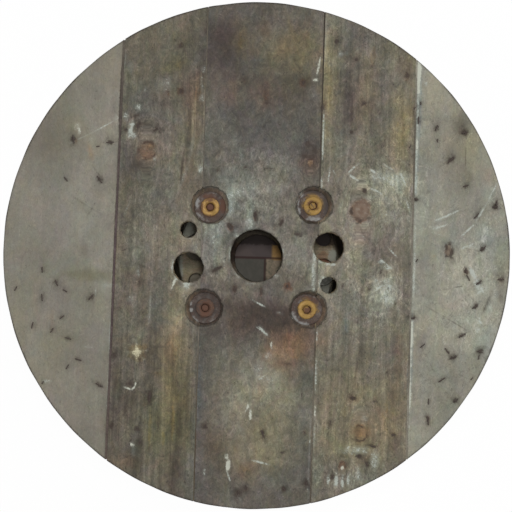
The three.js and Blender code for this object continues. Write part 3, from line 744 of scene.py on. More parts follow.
UPPER_LINES = listed({
    "pale": """
    -103 196 -110 146 2.4 .35, -112 140 -128 92 3 .35, -96 286 -93 250 2 .4, -165 -64 -166 -112 1.6 .4,
    99.5 126 99.5 104 2 .75, 99.5 230 99.4 158 1.6 .8, 99 380 99 300 1.3 .45, 99 -112 99 -134 1.8 .5,
    99.4 -158 99.4 -208 2.2 .6, 99.4 -262 99 -302 1.6 .5, 93 -230 92 -372 1.4 .35,
    247.4 262 247.6 186 2.2 .8, 247.8 180 247.8 136 2 .9, 247.8 132 248 100 1.8 .8, 248.6 60 249 20 1.6 .5,
    249.6 18 249.2 -62 2.2 .75, 248.4 -96 248 -188 1.8 .75, 247.4 -250 246.4 -306 2 .6,
    -216 312 -217 290 1.8 .4, -227 -108 -227 -168 1.6 .55, -227.6 -180 -229 -250 1.4 .4,
    -226 -20 -226.4 -50 1.6 .3, -258 190 -228 208 1.2 .8, -300 168 -258 190 1.1 .5, -252 -56 -252 -72 1.2 .5,
    277 62 320 82 1.6 .85, 276 50 300 58 1.7 .7, 322 40 342 60 1.7 .95, 344 64 361 94 1.7 .8,
    362 96 378 130 1.4 .7, 320 20 344 30 1.5 .7, 272 46 296 40 1.2 .35, 366 80 384 62 1.2 .3,
    8 -112 22 -126 2.4 .9, 2 -111 10 -116 1.6 .7, -4 -70 16 -80 1.5 .75, 34 -88 44 -90 2 .6,
    0 -322 28 -328 1.8 .8, 141 133 156 124 1.9 .95, 141 135 152 146 1.7 .85, 152 146 158 150 1.4 .6,
    174 142 184 136 1.8 .85, 196 150 214 140 1.6 .7, 222 140 232 118 1.7 .7, 176 112 196 104 1.6 .6,
    232 100 240 76 1.6 .6, 112 146 110 118 1.6 .7, 116 140 122 130 1.5 .4, 206 20 222 4 1.4 .6,
    189 -50 200 -40 1.6 .7, 193 3 206 -8 1.6 .8, 206 -8 214 -14 1.5 .8, -112 60 -118 24 2.6 .4,
    -28 92 -34 104 1.3 .4, -60 10 -52 -14 1.4 .3, -64 4 -70 40 2 .3, -80 44 -84 2 1.8 .4,
    26 -140 30 -148 1.4 .4, -36 -342 -30 -358 1.3 .7, -20 -376 -12 -388 1.3 .4, 160 40 176 30 1.2 .3,
    184 88 206 82 1.2 .3, 190 60 214 66 1.2 .25, 180 118 178 96 1.2 .3, -210 60 -200 84 1.4 .3,
    -182 262 -184 252 1.5 .4, -192 176 -196 156 1.6 .3, 140 -90 152 -84 1.2 .3, 206 -30 224 -26 1.3 .3""",
    "fresh": """
    91 312 87 288 1.9 .8, 92 316 90 306 1.3 .5, -126 -39 -131 -52 2 .85, -131 -52 -133 -58 1.2 .5,
    -202 -213 -190 -217 1.6 .85, -190 -217 -185 -211 1.7 .9, -185 -211 -184 -204 1.4 .7, -60 46 -46 54 .9 .3,
    -5 -236 -11 -248 1.2 .5, 154 125 158 122 1.3 .5, -34 28 -26 34 1.2 .4, -13 60 -8 48 1.2 .35""",
    "umber": """
    -220.4 300 -222.6 190 1.6 .8, -222 160 -226 -170 1.7 .85, -226 -180 -227 -320 1.6 .8,
    -111 236 -112 186 2 .4, -118 172 -124 104 2 .55, -102 284 -108 236 2 .4, -114 -216 -114 -334 2 .45,
    -147 -250 -147 -292 1.8 .45, -127 -226 -127 -262 1.4 .35, 96.4 104 96.4 226 1.1 .6,
    96.4 250 97 384 1.1 .55, 96.4 -134 96.6 -160 1.3 .6, 97 -26 96.8 -58 1.2 .5, -134 -280 -135 -296 1.2 .4,
    157 -208 162 -180 1.6 .4, 244.8 -240 243 -320 1 .4, 60 -86 22 -98 2 .3, 52 -118 30 -118 1.8 .4""",
    "dirt": """
    -295 86 -264 68 1.8 .5, -264 68 -243 57 1.6 .45, -270 52 -255 78 2 .5, -264 136 -252 120 1.3 .4,
    328 -38 312 -41 1.4 .7, 312 -42 290 -46 1.2 .45, 262 -68 300 -88 1.1 .5, 300 -88 336 -108 1.2 .6,
    325 200 325.4 140 1.1 .4, 325 178 325 150 1 .4, 372 -48 358 -82 2 .6, 272 54 308 71 1.5 .4,
    310 72 309 38 1.6 .35, 318 24 350 18 1 .4, 300 18 322 24 .9 .3, 252 16 296 22 .8 .25,
    168 -136 158 -212 2.4 .55, 150 -138 150 -168 1.8 .4, 232 -136 231 -182 2.4 .4, 222 -120 224 -238 2.2 .35,
    184 -146 186 -196 2 .35, 116 -118 115 -172 2.6 .35, 104 -186 105 -254 2 .45, -138 124 -140 20 1.6 .3,
    -176 -60 -178 -140 1.6 .35, -184 -90 -186 -130 1.4 .3, -208 -60 -209 -140 1.6 .3,
    -150 -100 -151 -170 1.6 .3, -96 -130 -96 -300 2.6 .45, -88 90 -88 20 .8 .5, -87.6 310 -87.6 240 .8 .4,
    -170 -190 -170 -250 2 .4, -322 -146 -323 -190 1.8 .25, -309 -150 -310 -200 1.6 .25,
    142 120 150 60 1.2 .25, 186 50 196 8 1.8 .35, 216 30 200 14 1.6 .35, -140 180 -128 150 1.4 .3,
    124 310 122 250 1.8 .3, 156 236 155 196 1.6 .35, -182 60 -183 -20 1.6 .35, -160 30 -161 -60 1.8 .3,
    240 150 240 60 1.4 .25, 118 180 117 130 1.6 .25""",
    "ochre": """
    -160 -250 -161 -330 2.4 .45, 180 -120 178 -200 2.6 .35, -118 60 -126 -10 4 .35, -100 290 -106 190 2 .35,
    -176 -210 -177 -250 2 .3, 136 40 136 -20 3 .25, 236 270 238 200 2.4 .4""",
    "cool": """
    248 316 248 100 4 1, 248.6 -90 247 -236 4 .9, 190 -130 191 -170 3 .4, -162 -66 -163 -104 2.4 .35,
    -186 -60 -187 -120 2.4 .35, 252 290 253 200 2 .4""",
    "rust": """
    -222 30 -224 -120 1.2 .6, -100 270 -104 244 3 .45, 60 -150 88 -146 2 .3, 240 -140 241 -210 1.6 .35""",
})
# Where the grain shows as strong streaks.
UPPER_STREAKED = numbers("""
    -160 -230 74 170 1, -150 -40 66 90 .6, -105 220 34 120 .8, 220 -130 34 160 .8, 165 240 74 110 .6,
    150 -160 60 120 .6, 150 -290 60 60 .5, -30 -300 50 60 .3, 20 330 80 60 .5""")
# Where feet, straps and tools have scraped the face.
UPPER_SCUFFED = numbers("""
    -10 84 76 50 1, 66 0 40 66 .8, -64 0 36 64 .8, 196 110 50 52 1, 196 -50 40 46 1, -192 196 34 44 1,
    -180 60 44 90 .6, 14 -110 86 50 .6, 150 -345 52 26 .9, 346 10 52 70 .6, 350 -80 44 60 .5,
    -190 -60 34 70 .5, 0 146 80 34 .8, 84 165 26 34 .8, -150 130 40 50 .5, -186 -160 26 20 .9,
    -196 -208 20 18 .9, 160 10 50 40 .5""")
UPPER_DENTS = numbers("""
    78 170 11 11 0 1.3, 226 -291 6 12 4 1.3, 305 15 6 12 0 .9, -199 -250 7 12 0 .8, 50 -48 5 4 0 .8,
    -130 -48 5 9 -20 1.4, -184 -156 10 11 0 1.1, -194 -210 9 8 0 1.1, 89 298 4 18 -12 1,
    -36 -334 3.6 16 8 .9, -4 -246 4 12 10 .8, 150 132 9 9 20 .7""")


# ------------------------ finishes


def tint(red, green, blue):
    """A colour given from 0 to 255, in the renderer's linear values."""
    share = [value / 255 for value in (red, green, blue)]
    return (*(s / 12.92 if s <= 0.04045 else ((s + 0.055) / 1.055) ** 2.4 for s in share), 1.0)


class Value:
    """What one socket puts out, so that a sum of such values reads as a sum."""

    def __init__(self, wiring, socket):
        self.wiring, self.socket = wiring, socket

    def __add__(self, other):
        return self.wiring.math("ADD", self, other)

    def __sub__(self, other):
        return self.wiring.math("SUBTRACT", self, other)

    def __rsub__(self, other):
        return self.wiring.math("SUBTRACT", other, self)

    def __mul__(self, other):
        return self.wiring.math("MULTIPLY", self, other)

    def __truediv__(self, other):
        return self.wiring.math("DIVIDE", self, other)

    def __rtruediv__(self, other):
        return self.wiring.math("DIVIDE", other, self)

    def __abs__(self):
        return self.wiring.math("ABSOLUTE", self)


class Wiring:
    """Adds nodes to one tree and wires them."""

    def __init__(self, tree):
        self.tree = tree

    def feed(self, socket, value):
        if isinstance(value, Value):
            self.tree.links.new(value.socket, socket)
        else:
            socket.default_value = value

    def add(self, kind, inputs=None, **settings):
        """A new node with these settings, and its inputs fed by number or name."""
        made = self.tree.nodes.new(kind)
        for name, value in settings.items():
            setattr(made, name, value)
        for key, value in (inputs or {}).items():
            self.feed(made.inputs[key], value)
        return made

    def node(self, kind, inputs=None, part=0, **settings):
        """One output of a new node."""
        return Value(self, self.add(kind, inputs, **settings).outputs[part])

    def parts(self, kind, inputs=None, **settings):
        """All outputs of a new node, by name."""
        return {socket.name: Value(self, socket) for socket in self.add(kind, inputs, **settings).outputs}

    def math(self, operation, a, b=None, clamp=False):
        """Reckons with numbers, or with vectors and colours where either side is one."""
        given = [value for value in (a, b) if value is not None]
        wide = [value.socket.type in ("VECTOR", "RGBA") for value in given if isinstance(value, Value)]
        if any(wide) or any(isinstance(value, tuple) for value in given):
            given = [(value,) * 3 if isinstance(value, (int, float)) else value for value in given]
            return self.node("ShaderNodeVectorMath", dict(enumerate(given)), operation=operation)
        return self.node("ShaderNodeMath", dict(enumerate(given)), operation=operation, use_clamp=clamp)

    def most(self, *values):
        """The greatest of these values."""
        return values[0] if len(values) == 1 else self.math("MAXIMUM", values[0], self.most(*values[1:]))

    def combine(self, x, y, z):
        return self.node("ShaderNodeCombineXYZ", {0: x, 1: y, 2: z})

    def split(self, vector):
        return self.parts("ShaderNodeSeparateXYZ", {0: vector}).values()

    def band(self, value, low, high, to_low=0.0, to_high=1.0):
        """Goes smoothly from one level to the other while the value goes from low to high."""
        given = dict(enumerate((value, low, high, to_low, to_high)))
        return self.node("ShaderNodeMapRange", given, interpolation_type="SMOOTHSTEP")

    def mix(self, amount, a, b, blend="MIX"):
        return self.node("ShaderNodeMix", {0: amount, 6: a, 7: b}, 2, data_type="RGBA", blend_type=blend)

    def noise(self, place, scale, detail=3.0, rough=0.55, distort=0.0, part=0):
        given = {"Vector": place, "Scale": scale, "Detail": detail, "Roughness": rough, "Distortion": distort}
        return self.node("ShaderNodeTexNoise", given, part)

    def attribute(self, name, part="Fac"):
        return self.node("ShaderNodeAttribute", part=part, attribute_name=name)

    def painted(self, name):
        """The four masks that one colour attribute carries."""
        colour = self.parts("ShaderNodeSeparateColor", {0: self.attribute(name, "Color")})
        return (*colour.values(), self.attribute(name, "Alpha"))

    def place(self):
        return self.node("ShaderNodeTexCoord", part="Object")

    def seen(self):
        """1 where the camera looks, straight or by way of gloss or glass."""
        path = self.parts("ShaderNodeLightPath")
        return self.most(path["Is Camera Ray"], path["Is Glossy Ray"], path["Is Transmission Ray"])

    def position(self):
        return self.node("GeometryNodeInputPosition")

    def stored(self, name, kind="FLOAT"):
        return self.node("GeometryNodeInputNamedAttribute", {"Name": name}, data_type=kind)

    def store(self, geometry, name, value, kind="FLOAT"):
        given = {"Geometry": geometry, "Name": name, "Value": value}
        return self.node("GeometryNodeStoreNamedAttribute", given, data_type=kind, domain="POINT")

    def bumps(self, height, distance):
        return self.node("ShaderNodeBump", {"Strength": 1.0, "Distance": distance, "Height": height})

    def group(self, tree, **given):
        inputs = {name.replace("_", " "): value for name, value in given.items()}
        made = self.add("ShaderNodeGroup", node_tree=tree)
        for name, value in inputs.items():
            self.feed(made.inputs[name], value)
        return {socket.name: Value(self, socket) for socket in made.outputs}


class Group(Wiring):
    """A node group. Each input is named with its first value or its kind, each output with its kind."""

    def __init__(self, name, inputs, outputs, kind="Shader"):
        super().__init__(bpy.data.node_groups.new(name, kind + "NodeTree"))
        for way, sockets in (("INPUT", inputs), ("OUTPUT", outputs)):
            for label, value in sockets.items():
                sort = value if isinstance(value, str) else {int: "Int", float: "Float"}.get(type(value))
                sort = sort or {3: "Vector", 4: "Color"}[len(value)]
                made = self.tree.interface.new_socket(label, in_out=way, socket_type="NodeSocket" + sort)
                if not isinstance(value, str):
                    made.default_value = value
        self.given = self.parts("NodeGroupInput")
        self.out = self.add("NodeGroupOutput").inputs

    def finish(self, **values):
        """Feeds the group's outputs and gives its tree."""
        for name, value in values.items():
            self.feed(self.out[name], value)
        return self.tree


def make_sawn_timber():
    """Grey weathered timber: streaks, fibres and cracks with the grain, blotches, specks, a wandering hue."""
    w = Group("sawn timber", {
        "Grain": (0, 0, 0), "Wood": tint(112, 108, 96), "Streaks": 0.5, "Fibre": 0.5, "Blotches": 0.5,
        "Hue drift": 0.5, "Specks": 0.5, "Scuffs": 0.5,
    }, {"Colour": "Color", "Height": "Float", "Roughness": "Float"})
    grain, wood, lines, fibre, blotches, drift, specks, scuffs, *_ = w.given.values()
    place = w.place()

    def along(across, lengthwise, detail, rough=0.6, distort=0.0, shift=0.0, part=0):
        """Noise with patches this many to a metre across the grain and along it."""
        at = grain * (across, lengthwise, across)
        return w.noise(at + shift if shift else at, 1, detail, rough, distort, part)

    def around(value, strength, by=1.0):
        """The value's swing about its middle, this strong."""
        return (value - 0.5) * (by * strength)

    narrow = along(125, 6, 4, 0.66, 0.7)
    tooth = along(640, 330, 3, 0.7)
    blotch = along(92, 70, 6, 0.82, 0.9)
    soft = w.noise(place, 17, 3, 0.6)
    scuffed = w.attribute("tone", "Alpha")
    streaks = lines * (w.attribute("streaky") * 1.7 + 1.0)
    level = around(along(46, 2.4, 4, 0.62, 0.9), 3.0, streaks) + around(narrow, 2.1, streaks * fibre)
    level = level + around(blotch, 8.6, blotches) + around(soft, 2.6, blotches) + around(tooth, 2.1, fibre)
    level = level + around(w.noise(place, 8.5, 3, 0.6, 0.4), 0.85)
    level = level + around(along(300, 12, 3, 0.6, 0.5, 2.9), 1.3, streaks)
    level = level + w.band(along(330, 240, 2, 0.5, 0.8), 0.6, 0.78, 0, -1.5) * specks
    level = level + w.band(along(240, 170, 3, 0.6, 1.2, 7.3), 0.6, 0.76, 0, 0.85) * specks
    swirl, where = along(46, 30, 3, 0.5, 1.7, 3.1), along(24, 18, 3, 0.6, 0.6, 5.7)
    scuff = w.band(where + scuffed * 0.1, 0.53, 0.62, 0, 0.62) + w.band(where, 0.4, 0.47, -0.6, 0)
    level = level + around(along(230, 110, 3, 0.75, 0.8, 4.4), 3.4, scuffed)
    level = level + w.band(abs(swirl - 0.5), 0.0, 0.022, 1, 0) * scuff * scuffs

    hues = (along(26, 15, 4, 0.66, 0.9, 0, 1) - 0.5) + (along(120, 78, 3, 0.62, 0.7, 0, 1) - 0.5) * 0.6
    hues = hues * (drift * (0.95, 0.55, 1.15)) + 1.0
    crack = w.band(abs(along(110, 4.5, 2, 0.5, 0.3) - 0.5), 0.0, 0.014, 1, 0)
    crack = crack * (w.band(soft, 0.5, 0.6) * lines)
    colour = wood * w.math("POWER", 2.0, level) * hues
    return w.finish(
        Colour=w.mix(crack * 0.7, colour, tint(56, 49, 43)),
        Height=tooth * 0.35 + narrow * 0.4 + blotch * 0.5 - crack * 0.6,
        Roughness=w.band(blotch, 0.3, 0.7, 0.72, 0.9),
    )


def make_marks():
    """Lays a face's stains, dirt, worn places, nail slits and knots over the timber's colour; in the recesses
    and where the holes look onto the lower flange, some of these marks are painted light and shade.
    """
    outputs = {"Colour": "Color", "Height": "Float"}
    w = Group("marks on timber", {"Colour": tint(112, 108, 96), "Height": 0.5}, outputs)
    place = w.place()
    masks = dict(zip(LAYERS, (*w.painted("stains"), *w.painted("wear"))))
    broken = w.noise(place, 150, 5, 0.75, 0.7)
    streaked = w.noise(w.attribute("grain", "Vector") * (260, 26, 260), 1, 3, 0.65, 0.5)
    uneven = broken * 0.65 + streaked * 0.35
    flaked = uneven * 0.5 + w.noise(place, 330, 3, 0.8, 0.8) * 0.5
    field = w.attribute("knot_field") + broken * 0.9
    rings = w.band(w.math("SINE", field * 9.0), -0.8, 0.9)
    knot = w.mix(rings, tint(102, 84, 72), tint(113, 97, 84))
    knot = w.mix(w.band(broken, 0.5, 0.66, 0, 0.7), knot, tint(136, 126, 114))

    # Each mark: how it lies over the wood and in what colour, how thick, the noise that tears its edge and
    # how far, where the edge starts and stops, and how much of the mark stays whole.
    colour = w.given["Colour"]
    for name, blend, stain, opacity, noise, reach, start, stop, whole in (
        ("cool", "MULTIPLY", (0.9, 0.98, 1.09, 1), 0.9, broken, 1.7, -0.36, 0.5, 0.4),
        ("dirt", "MULTIPLY", (0.5, 0.47, 0.46, 1), 0.85, uneven, 1.7, -0.3, 0.8, 0.5),
        ("pale", "MIX", tint(172, 178, 169), 0.82, flaked, 6.0, -0.62, 0.6, 0.34),
        ("rust", "MULTIPLY", (1.0, 0.79, 0.71, 1), 0.9, broken, 1.7, -0.36, 0.5, 0.4),
        ("knot", "MIX", knot, 0.9, broken, 1.9, -0.36, 0.5, 0.3),
        ("umber", "MIX", tint(60, 51, 45), 0.88, flaked, 2.0, -0.22, 0.85, 0.5),
        ("fresh", "MIX", tint(186, 188, 174), 0.86, flaked, 4.2, -0.44, 0.6, 0.4),
        ("ochre", "MULTIPLY", (1.18, 1.06, 0.83, 1), 0.85, uneven, 1.7, -0.36, 0.5, 0.4),
    ):
        mask = masks[name]
        torn = w.band(mask * 1.36 + start + (noise - 0.5) * reach, 0.0, stop)
        torn = torn * w.math("MULTIPLY", mask, 8.0, clamp=True)
        colour = w.mix(w.most(torn, mask * whole) * opacity, colour, stain, blend)
    return w.finish(Colour=colour, Height=w.given["Height"] - masks["umber"] * 0.3)


def make_soiled_steel():
    """Old plated or plain steel under rust that starts in the pits, and under the dirt that lies on it, whose
    pale and dark marks in the recesses are partly painted light and shade.
    """
    w = Group("soiled steel", {
        "Bare": tint(98, 88, 80), "Old rust": tint(104, 70, 50), "Deep rust": tint(62, 44, 37), "Cover": 0.5,
    }, {"Colour": "Color", "Rusted": "Float", "Height": "Float"})
    bare, old, deep, cover, *_ = w.given.values()
    place = w.place()
    coarse, fine = w.noise(place, 130, 4, 0.65), w.noise(place, 620, 3, 0.65)
    broken = w.noise(place, 240, 4, 0.7, 0.6)
    rusted = w.band(coarse * 0.7 + fine * 0.3 + w.attribute("grime") - cover, -0.06, 0.1)
    plain = w.mix(w.band(coarse, 0.35, 0.65, 0.0, 0.5), bare, w.mix(0.5, bare, old))
    colour = w.mix(rusted, plain, w.mix(w.band(fine, 0.38, 0.62), deep, old))
    gilt, rust, pale, dark = w.painted("soil")
    covered = rusted
    # In the recesses the pale marks are partly painted light and the dark marks partly painted shade.
    for mask, stain, opacity in (
        (gilt, tint(152, 122, 66), 0.9), (dark, tint(66, 60, 57), 0.85),
        (rust, tint(94, 65, 51), 0.85), (pale, tint(150, 149, 146), 0.85),
    ):
        shown = w.band(mask + (broken - 0.5) * 2.0, 0.05, 0.9) * w.math("MULTIPLY", mask, 4.0, clamp=True)
        shown = shown * opacity
        tone = w.mix(w.band(fine, 0.3, 0.7, 0.0, 0.4), stain, w.mix(0.5, stain, deep))
        colour = w.mix(shown, colour, tone)
        covered = w.most(shown, covered)
    return w.finish(Colour=colour, Rusted=covered, Height=fine + rusted * 0.6 + broken * 0.8)


sawn_timber = make_sawn_timber()
marks_on_timber = make_marks()
soiled_steel = make_soiled_steel()


def new_finish(name, gloss):
    finish = bpy.data.materials.new(name)
    finish.use_nodes = True
    shader = finish.node_tree.nodes["Principled BSDF"]
    shader.inputs["Specular IOR Level"].default_value = gloss
    return finish, Wiring(finish.node_tree), shader.inputs


def make_board_finish(name, wood, character):
    finish, w, shader = new_finish(name, 0.25)
    toned = w.math("MULTIPLY", wood[:3], w.attribute("tone", "Color"))
    timber = w.group(sawn_timber, Grain=w.attribute("grain", "Vector"), Wood=toned, **character)
    marked = w.group(marks_on_timber, Colour=timber["Colour"], Height=timber["Height"])
    w.feed(shader["Base Color"], w.mix(w.attribute("shade"), tint(38, 31, 26), marked["Colour"]))
    w.feed(shader["Roughness"], timber["Roughness"])
    w.feed(shader["Normal"], w.bumps(marked["Height"], TIMBER_BUMP))
    return finish


def make_steel_finish(name, bare, old, deep, metal, cover):
    finish, w, shader = new_finish(name, 0.3)
    steel = w.group(soiled_steel, Bare=tint(*bare), Old_rust=tint(*old), Deep_rust=tint(*deep), Cover=cover)
    w.feed(shader["Base Color"], steel["Colour"])
    w.feed(shader["Metallic"], (1.0 - steel["Rusted"]) * metal)
    w.feed(shader["Roughness"], w.band(steel["Rusted"], 0, 1, 0.5, 0.85))
    w.feed(shader["Normal"], w.bumps(steel["Height"], STEEL_BUMP))
    return finish


# ------------------------ the boards of the two flanges


def rod_centre(i):
    low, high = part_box(f"tie_rod_{i + 1}")
    return (low.x + high.x) / 2, (low.y + high.y) / 2


ROD_CENTRES = [rod_centre(i) for i in range(4)]


def holes_for(across):
    """Where a flange is drilled and counterbored, in its own frame; across is -1 on the lower one."""

    def pair(radius, degrees):
        for turn in (0, 180):
            angle = math.radians(degrees + turn)
            yield across * PATTERN[0] + radius * math.cos(angle), PATTERN[1] + radius * math.sin(angle)

    moved = zip(ROD_CENTRES, COUNTERBORE_SHIFTS)
    recesses = [(across * (x + sx * MM), y + sy * MM) for (x, y), (sx, sy) in moved]
    holes = [((0, 0), SPINDLE_HOLE, 0.9)]
    holes += [(centre, DRIVE_HOLE, 1.2) for centre in pair(DRIVE_PITCH, DRIVE_ANGLE)]
    holes += [(centre, PIN_HOLE, 1.0) for centre in pair(PIN_PITCH, PIN_ANGLE)]
    holes += [((across * x, y), SLEEVE_HOLE, 0.3) for x, y in ROD_CENTRES]
    return holes, recesses


# Each ply: the place, gap and slope of its joints (millimetres, and millimetres in a metre), and its wood.
PLIES = {
    "upper_outer": (
        ((-223.02, 2.6, 13.96), (-87.52, 0.6, 0), (96.52, 1.4, 0), (245.02, 1.8, -4.36)),
        ((120, 116, 105), (96, 91, 80), (90, 85, 77), (107, 102, 90), (132, 130, 118)),
    ),
    "upper_inner": (
        ((-239.82, 2, 0), (-59.82, 1.2, 0), (114.82, 1.6, 0), (254.82, 2.2, 0)),
        ((128, 118, 100), (118, 109, 92), (132, 122, 103), (121, 113, 97), (126, 116, 98)),
    ),
    "lower_inner": (
        ((-199.82, 1.8, 0), (-59.82, 1.4, 0), (114.82, 1.4, 0), (286.82, 2, 0)),
        ((120, 112, 96), (130, 120, 101), (117, 109, 94), (128, 118, 99), (122, 114, 98)),
    ),
    "lower_outer": (
        ((-227.52, 1.8, -5.24), (-96.52, 1.2, 0), (87.52, 1.6, 0), (261.52, 2.2, 6.98)),
        ((126, 121, 107), (108, 103, 90), (113, 107, 94), (104, 99, 88), (130, 126, 112)),
    ),
}
# What sets the five boards of an outer ply apart from each other, and what an inner board has.
CHARACTER = {
    "Streaks": (0.13, 0.38, 0.14, 0.37, 0.14),
    "Fibre": (0.36, 0.75, 0.6, 0.75, 0.42),
    "Blotches": (0.14, 0.42, 0.44, 0.42, 0.19),
    "Hue_drift": (0.24, 0.42, 0.4, 0.42, 0.26),
    "Specks": (0.3, 0.6, 0.6, 0.65, 0.4),
    "Scuffs": (0.3, 0.5, 0.55, 0.9, 0.75),
}
INNER_CHARACTER = {
    "Streaks": 0.5, "Fibre": 0.7, "Blotches": 0.34, "Hue_drift": 0.5, "Specks": 0.3, "Scuffs": 0.3,
}
PAINTED_LIGHT_INSIDE = np.array((1.3, 1.18, 1.0))  # painted light: how much lighter the walls of the small holes and the lower flange's inner face are made, so that they look lit through the holes
# On the lower flange's inner face, as it shows through the holes; x counts the other way there.
SEEN_INSIDE = [
    # painted light: the fresh patches in this list brighten where the drive and pin holes look in
    ("rust", -119, 3, 15, 11, 1.0), ("fresh", -132, 10, 9, 12, 0.9), ("fresh", 128, 46, 17, 17, 0.9),
    # painted shadow: these two umber patches darken the upper side of the right drive hole and of the spindle
    # hole
    ("umber", -124, 39, 30, 15, 0.7), ("umber", 0, 52, 40, 9, 0.4),
    ("fresh", -117, -46, 14, 16, 0.9), ("fresh", 137, -20, 5, 24, 0.9),
    # beside the spindle hole
    ("ochre", -50, 14, 18, 28, 1.0), ("rust", -52, 14, 10, 20, 0.6), ("pale", -46, -18, 16, 18, 0.7),
    ("umber", 46, 18, 9, 34, 0.7), ("rust", 44, 10, 12, 36, 0.7), ("pale", 52, 34, 5, 12, 0.6),
]


def ply_seed(ply):
    return 100 * list(PLIES).index(ply)


def joint_edge(ply, joint, side):
    """The edge beside a joint: of the board after it (side 1), or of the one before it (side -1)."""
    at, gap, slope = PLIES[ply][0][joint]
    seed = ply_seed(ply) + joint + (1 if side > 0 else 10)
    return SawnEdge((at + side * gap / 2) * MM, slope * MM, side, 0.5 * MM, seed)


def scattered_marks(seed, slits):
    """Marks strewn over one of the three other faces: nails, soft stains and a few knots."""
    rng = np.random.default_rng(seed)
    nails, spots = [], []
    for _ in range(120):
        radius, angle = rng.uniform(70, 375), rng.uniform(0, 2 * math.pi)
        x, y, turn = radius * math.cos(angle), radius * math.sin(angle), rng.uniform(20, 160)
        near_hole = any(math.dist((abs(x), abs(y)), c) < 36 for c in ((82, 81), (113, 19), (112, 40)))
        crowded = any(math.dist((x, y), nail[:2]) < 26 for nail in nails)
        if near_hole or crowded or len(nails) > 74 or (not slits and 122 < radius < 182):
            continue
        size = (5.2, 2.4) if slits else (4.2, 4.2)
        nails.append((round(x), round(y), round(turn), *size, rng.uniform(0.5, 0.95)))
    for _ in range(46):
        radius, angle = 390 * rng.uniform(0.1, 1) ** 0.5, rng.uniform(0, 2 * math.pi)
        kind = ("rust", "dirt", "ochre", "cool", "pale", "umber")[int(rng.integers(6))]
        size = (rng.uniform(8, 34), rng.uniform(20, 60))
        strength = rng.uniform(0.15, 0.5) * (0.5 if kind == "umber" else 1)
        spots.append((kind, radius * math.cos(angle), radius * math.sin(angle), *size, strength))
    knots = []
    for _ in range(5):
        place = (rng.uniform(-300, 300), rng.uniform(-300, 300))
        knots.append((place, rng.uniform(8, 15), (0.5, 0.7, 0.5, 0.3)))
    return Surface(seed, knots, nails, spots)


SURFACES = {
    "upper_outer": Surface(
        1, UPPER_KNOTS, UPPER_NAILS, UPPER_SPOTS, UPPER_LINES, UPPER_TONES, UPPER_DENTS, UPPER_STREAKED,
        UPPER_SCUFFED,
    ),
    "upper_inner": scattered_marks(31, False),
    "lower_inner": scattered_marks(32, False),
    "lower_outer": scattered_marks(33, True),
}
SURFACES["lower_inner"].spots += SEEN_INSIDE


# What each recess of the upper face shows: kind, place from its rod's centre, half size, turn and strength.
# The pale marks on a recess's left and lower wall are painted light, and the dark marks at its upper and
# right edge are painted shade; the rest are real plating, rust and dirt.
SOIL_AND_PAINTED_LIGHT = {
    "upper right: caked over, its torn left wall painted lit": """
    gilt -.5 1 14.5 14.5 0 .95, rust -5 5 2.4 6 -52 .85, rust 5.5 2 2.2 6 10 .85, dark -8 -9 6 3 -40 .55,
    dark -1 .5 1.2 5 35 .7, rust 1 -5 7 1.5 15 .75, rust 3 6.4 1.6 5 80 .5, dark 22 8 7 20 0 .85,
    dark 2 23 18 4.5 0 .75, pale 3 -20 13 3.6 0 .75, dark 0 -27 15 2.2 0 1, pale -18 18 3 5 -30 .95,
    pale -24 7 2 8 0 .9, pale -22 -9 2.6 6 20 .95, dark -20 0 1.6 9 0 .8, dark -18 -14 3 3 0 .7""",
    "upper left: a bright ring, brown round it": """
    dark 0 0 5.4 5.2 0 .6, rust 0 0 5.6 5.4 0 1, rust -1 14 10 6 0 .85, rust 21 3 7 12 0 .9,
    rust -13 -2 2.6 10 0 .7, rust 0 -14 12 2.4 0 .6, gilt 6.5 -9 4 5 -45 .8, pale -21 5 3 11 0 .9,
    pale -16 -15 3 8 50 .5, rust -27 10 2 12 0 .9, dark 20 -16 5 7 -50 .5, dark 14 15 3 10 40 .5""",
    "lower left: filled with dirt": """
    dark -1 0 23 23 0 .75, rust 1 -1 9 13 0 .8, pale -23 7 2.4 3.4 0 .8, pale -22 -4 2.6 2.6 0 .95,
    pale -17 -16 2.4 5 45 .7, pale -12 -22 2 4 40 .8, dark -28 8 2.4 16 0 .9, dark 0 20 16 5 0 .6""",
    "lower right: a bright disc, a pale crescent below it": """
    gilt 1 .5 13.4 13.4 0 .9, dark 1.5 -1 6 4.6 0 .5, rust 1.5 -1 6.6 5.2 0 1, rust 8 16 14 4 -28 .55,
    dark 4 26 16 2.8 -8 .95, dark 25 12 3 14 28 .8, pale -19 -14 3.6 10 32 .85, pale -5 -23 11 3.4 -10 .85,
    dark -16 -4 3.6 10 10 .6, dark -8 -16 5 3 -30 .5""",
}


def soil(x, y):
    """How strongly gilt, rust, paleness and darkness show at each point about the upper face's rods; some of
    the paleness is painted light and some of the darkness painted shade.
    """
    kinds = ("gilt", "rust", "pale", "dark")
    found = np.zeros((len(x), 4))
    for (cx, cy), marks in zip(ROD_CENTRES, SOIL_AND_PAINTED_LIGHT.values()):
        near = np.hypot(x - cx, y - cy) < 33 * MM
        if near.any():
            u, v = x[near] - cx, y[near] - cy
            for i, mark in enumerate(marks.split(",")):
                kind, *given = mark.split()
                px, py, wide, high, turn, strength = map(float, given)
                mask = strength * oval(u, v, (px, py), (wide, high), turn, 0.6, 0.5, i + 3)
                column = kinds.index(kind)
                found[near, column] = np.maximum(found[near, column], mask)
    return found


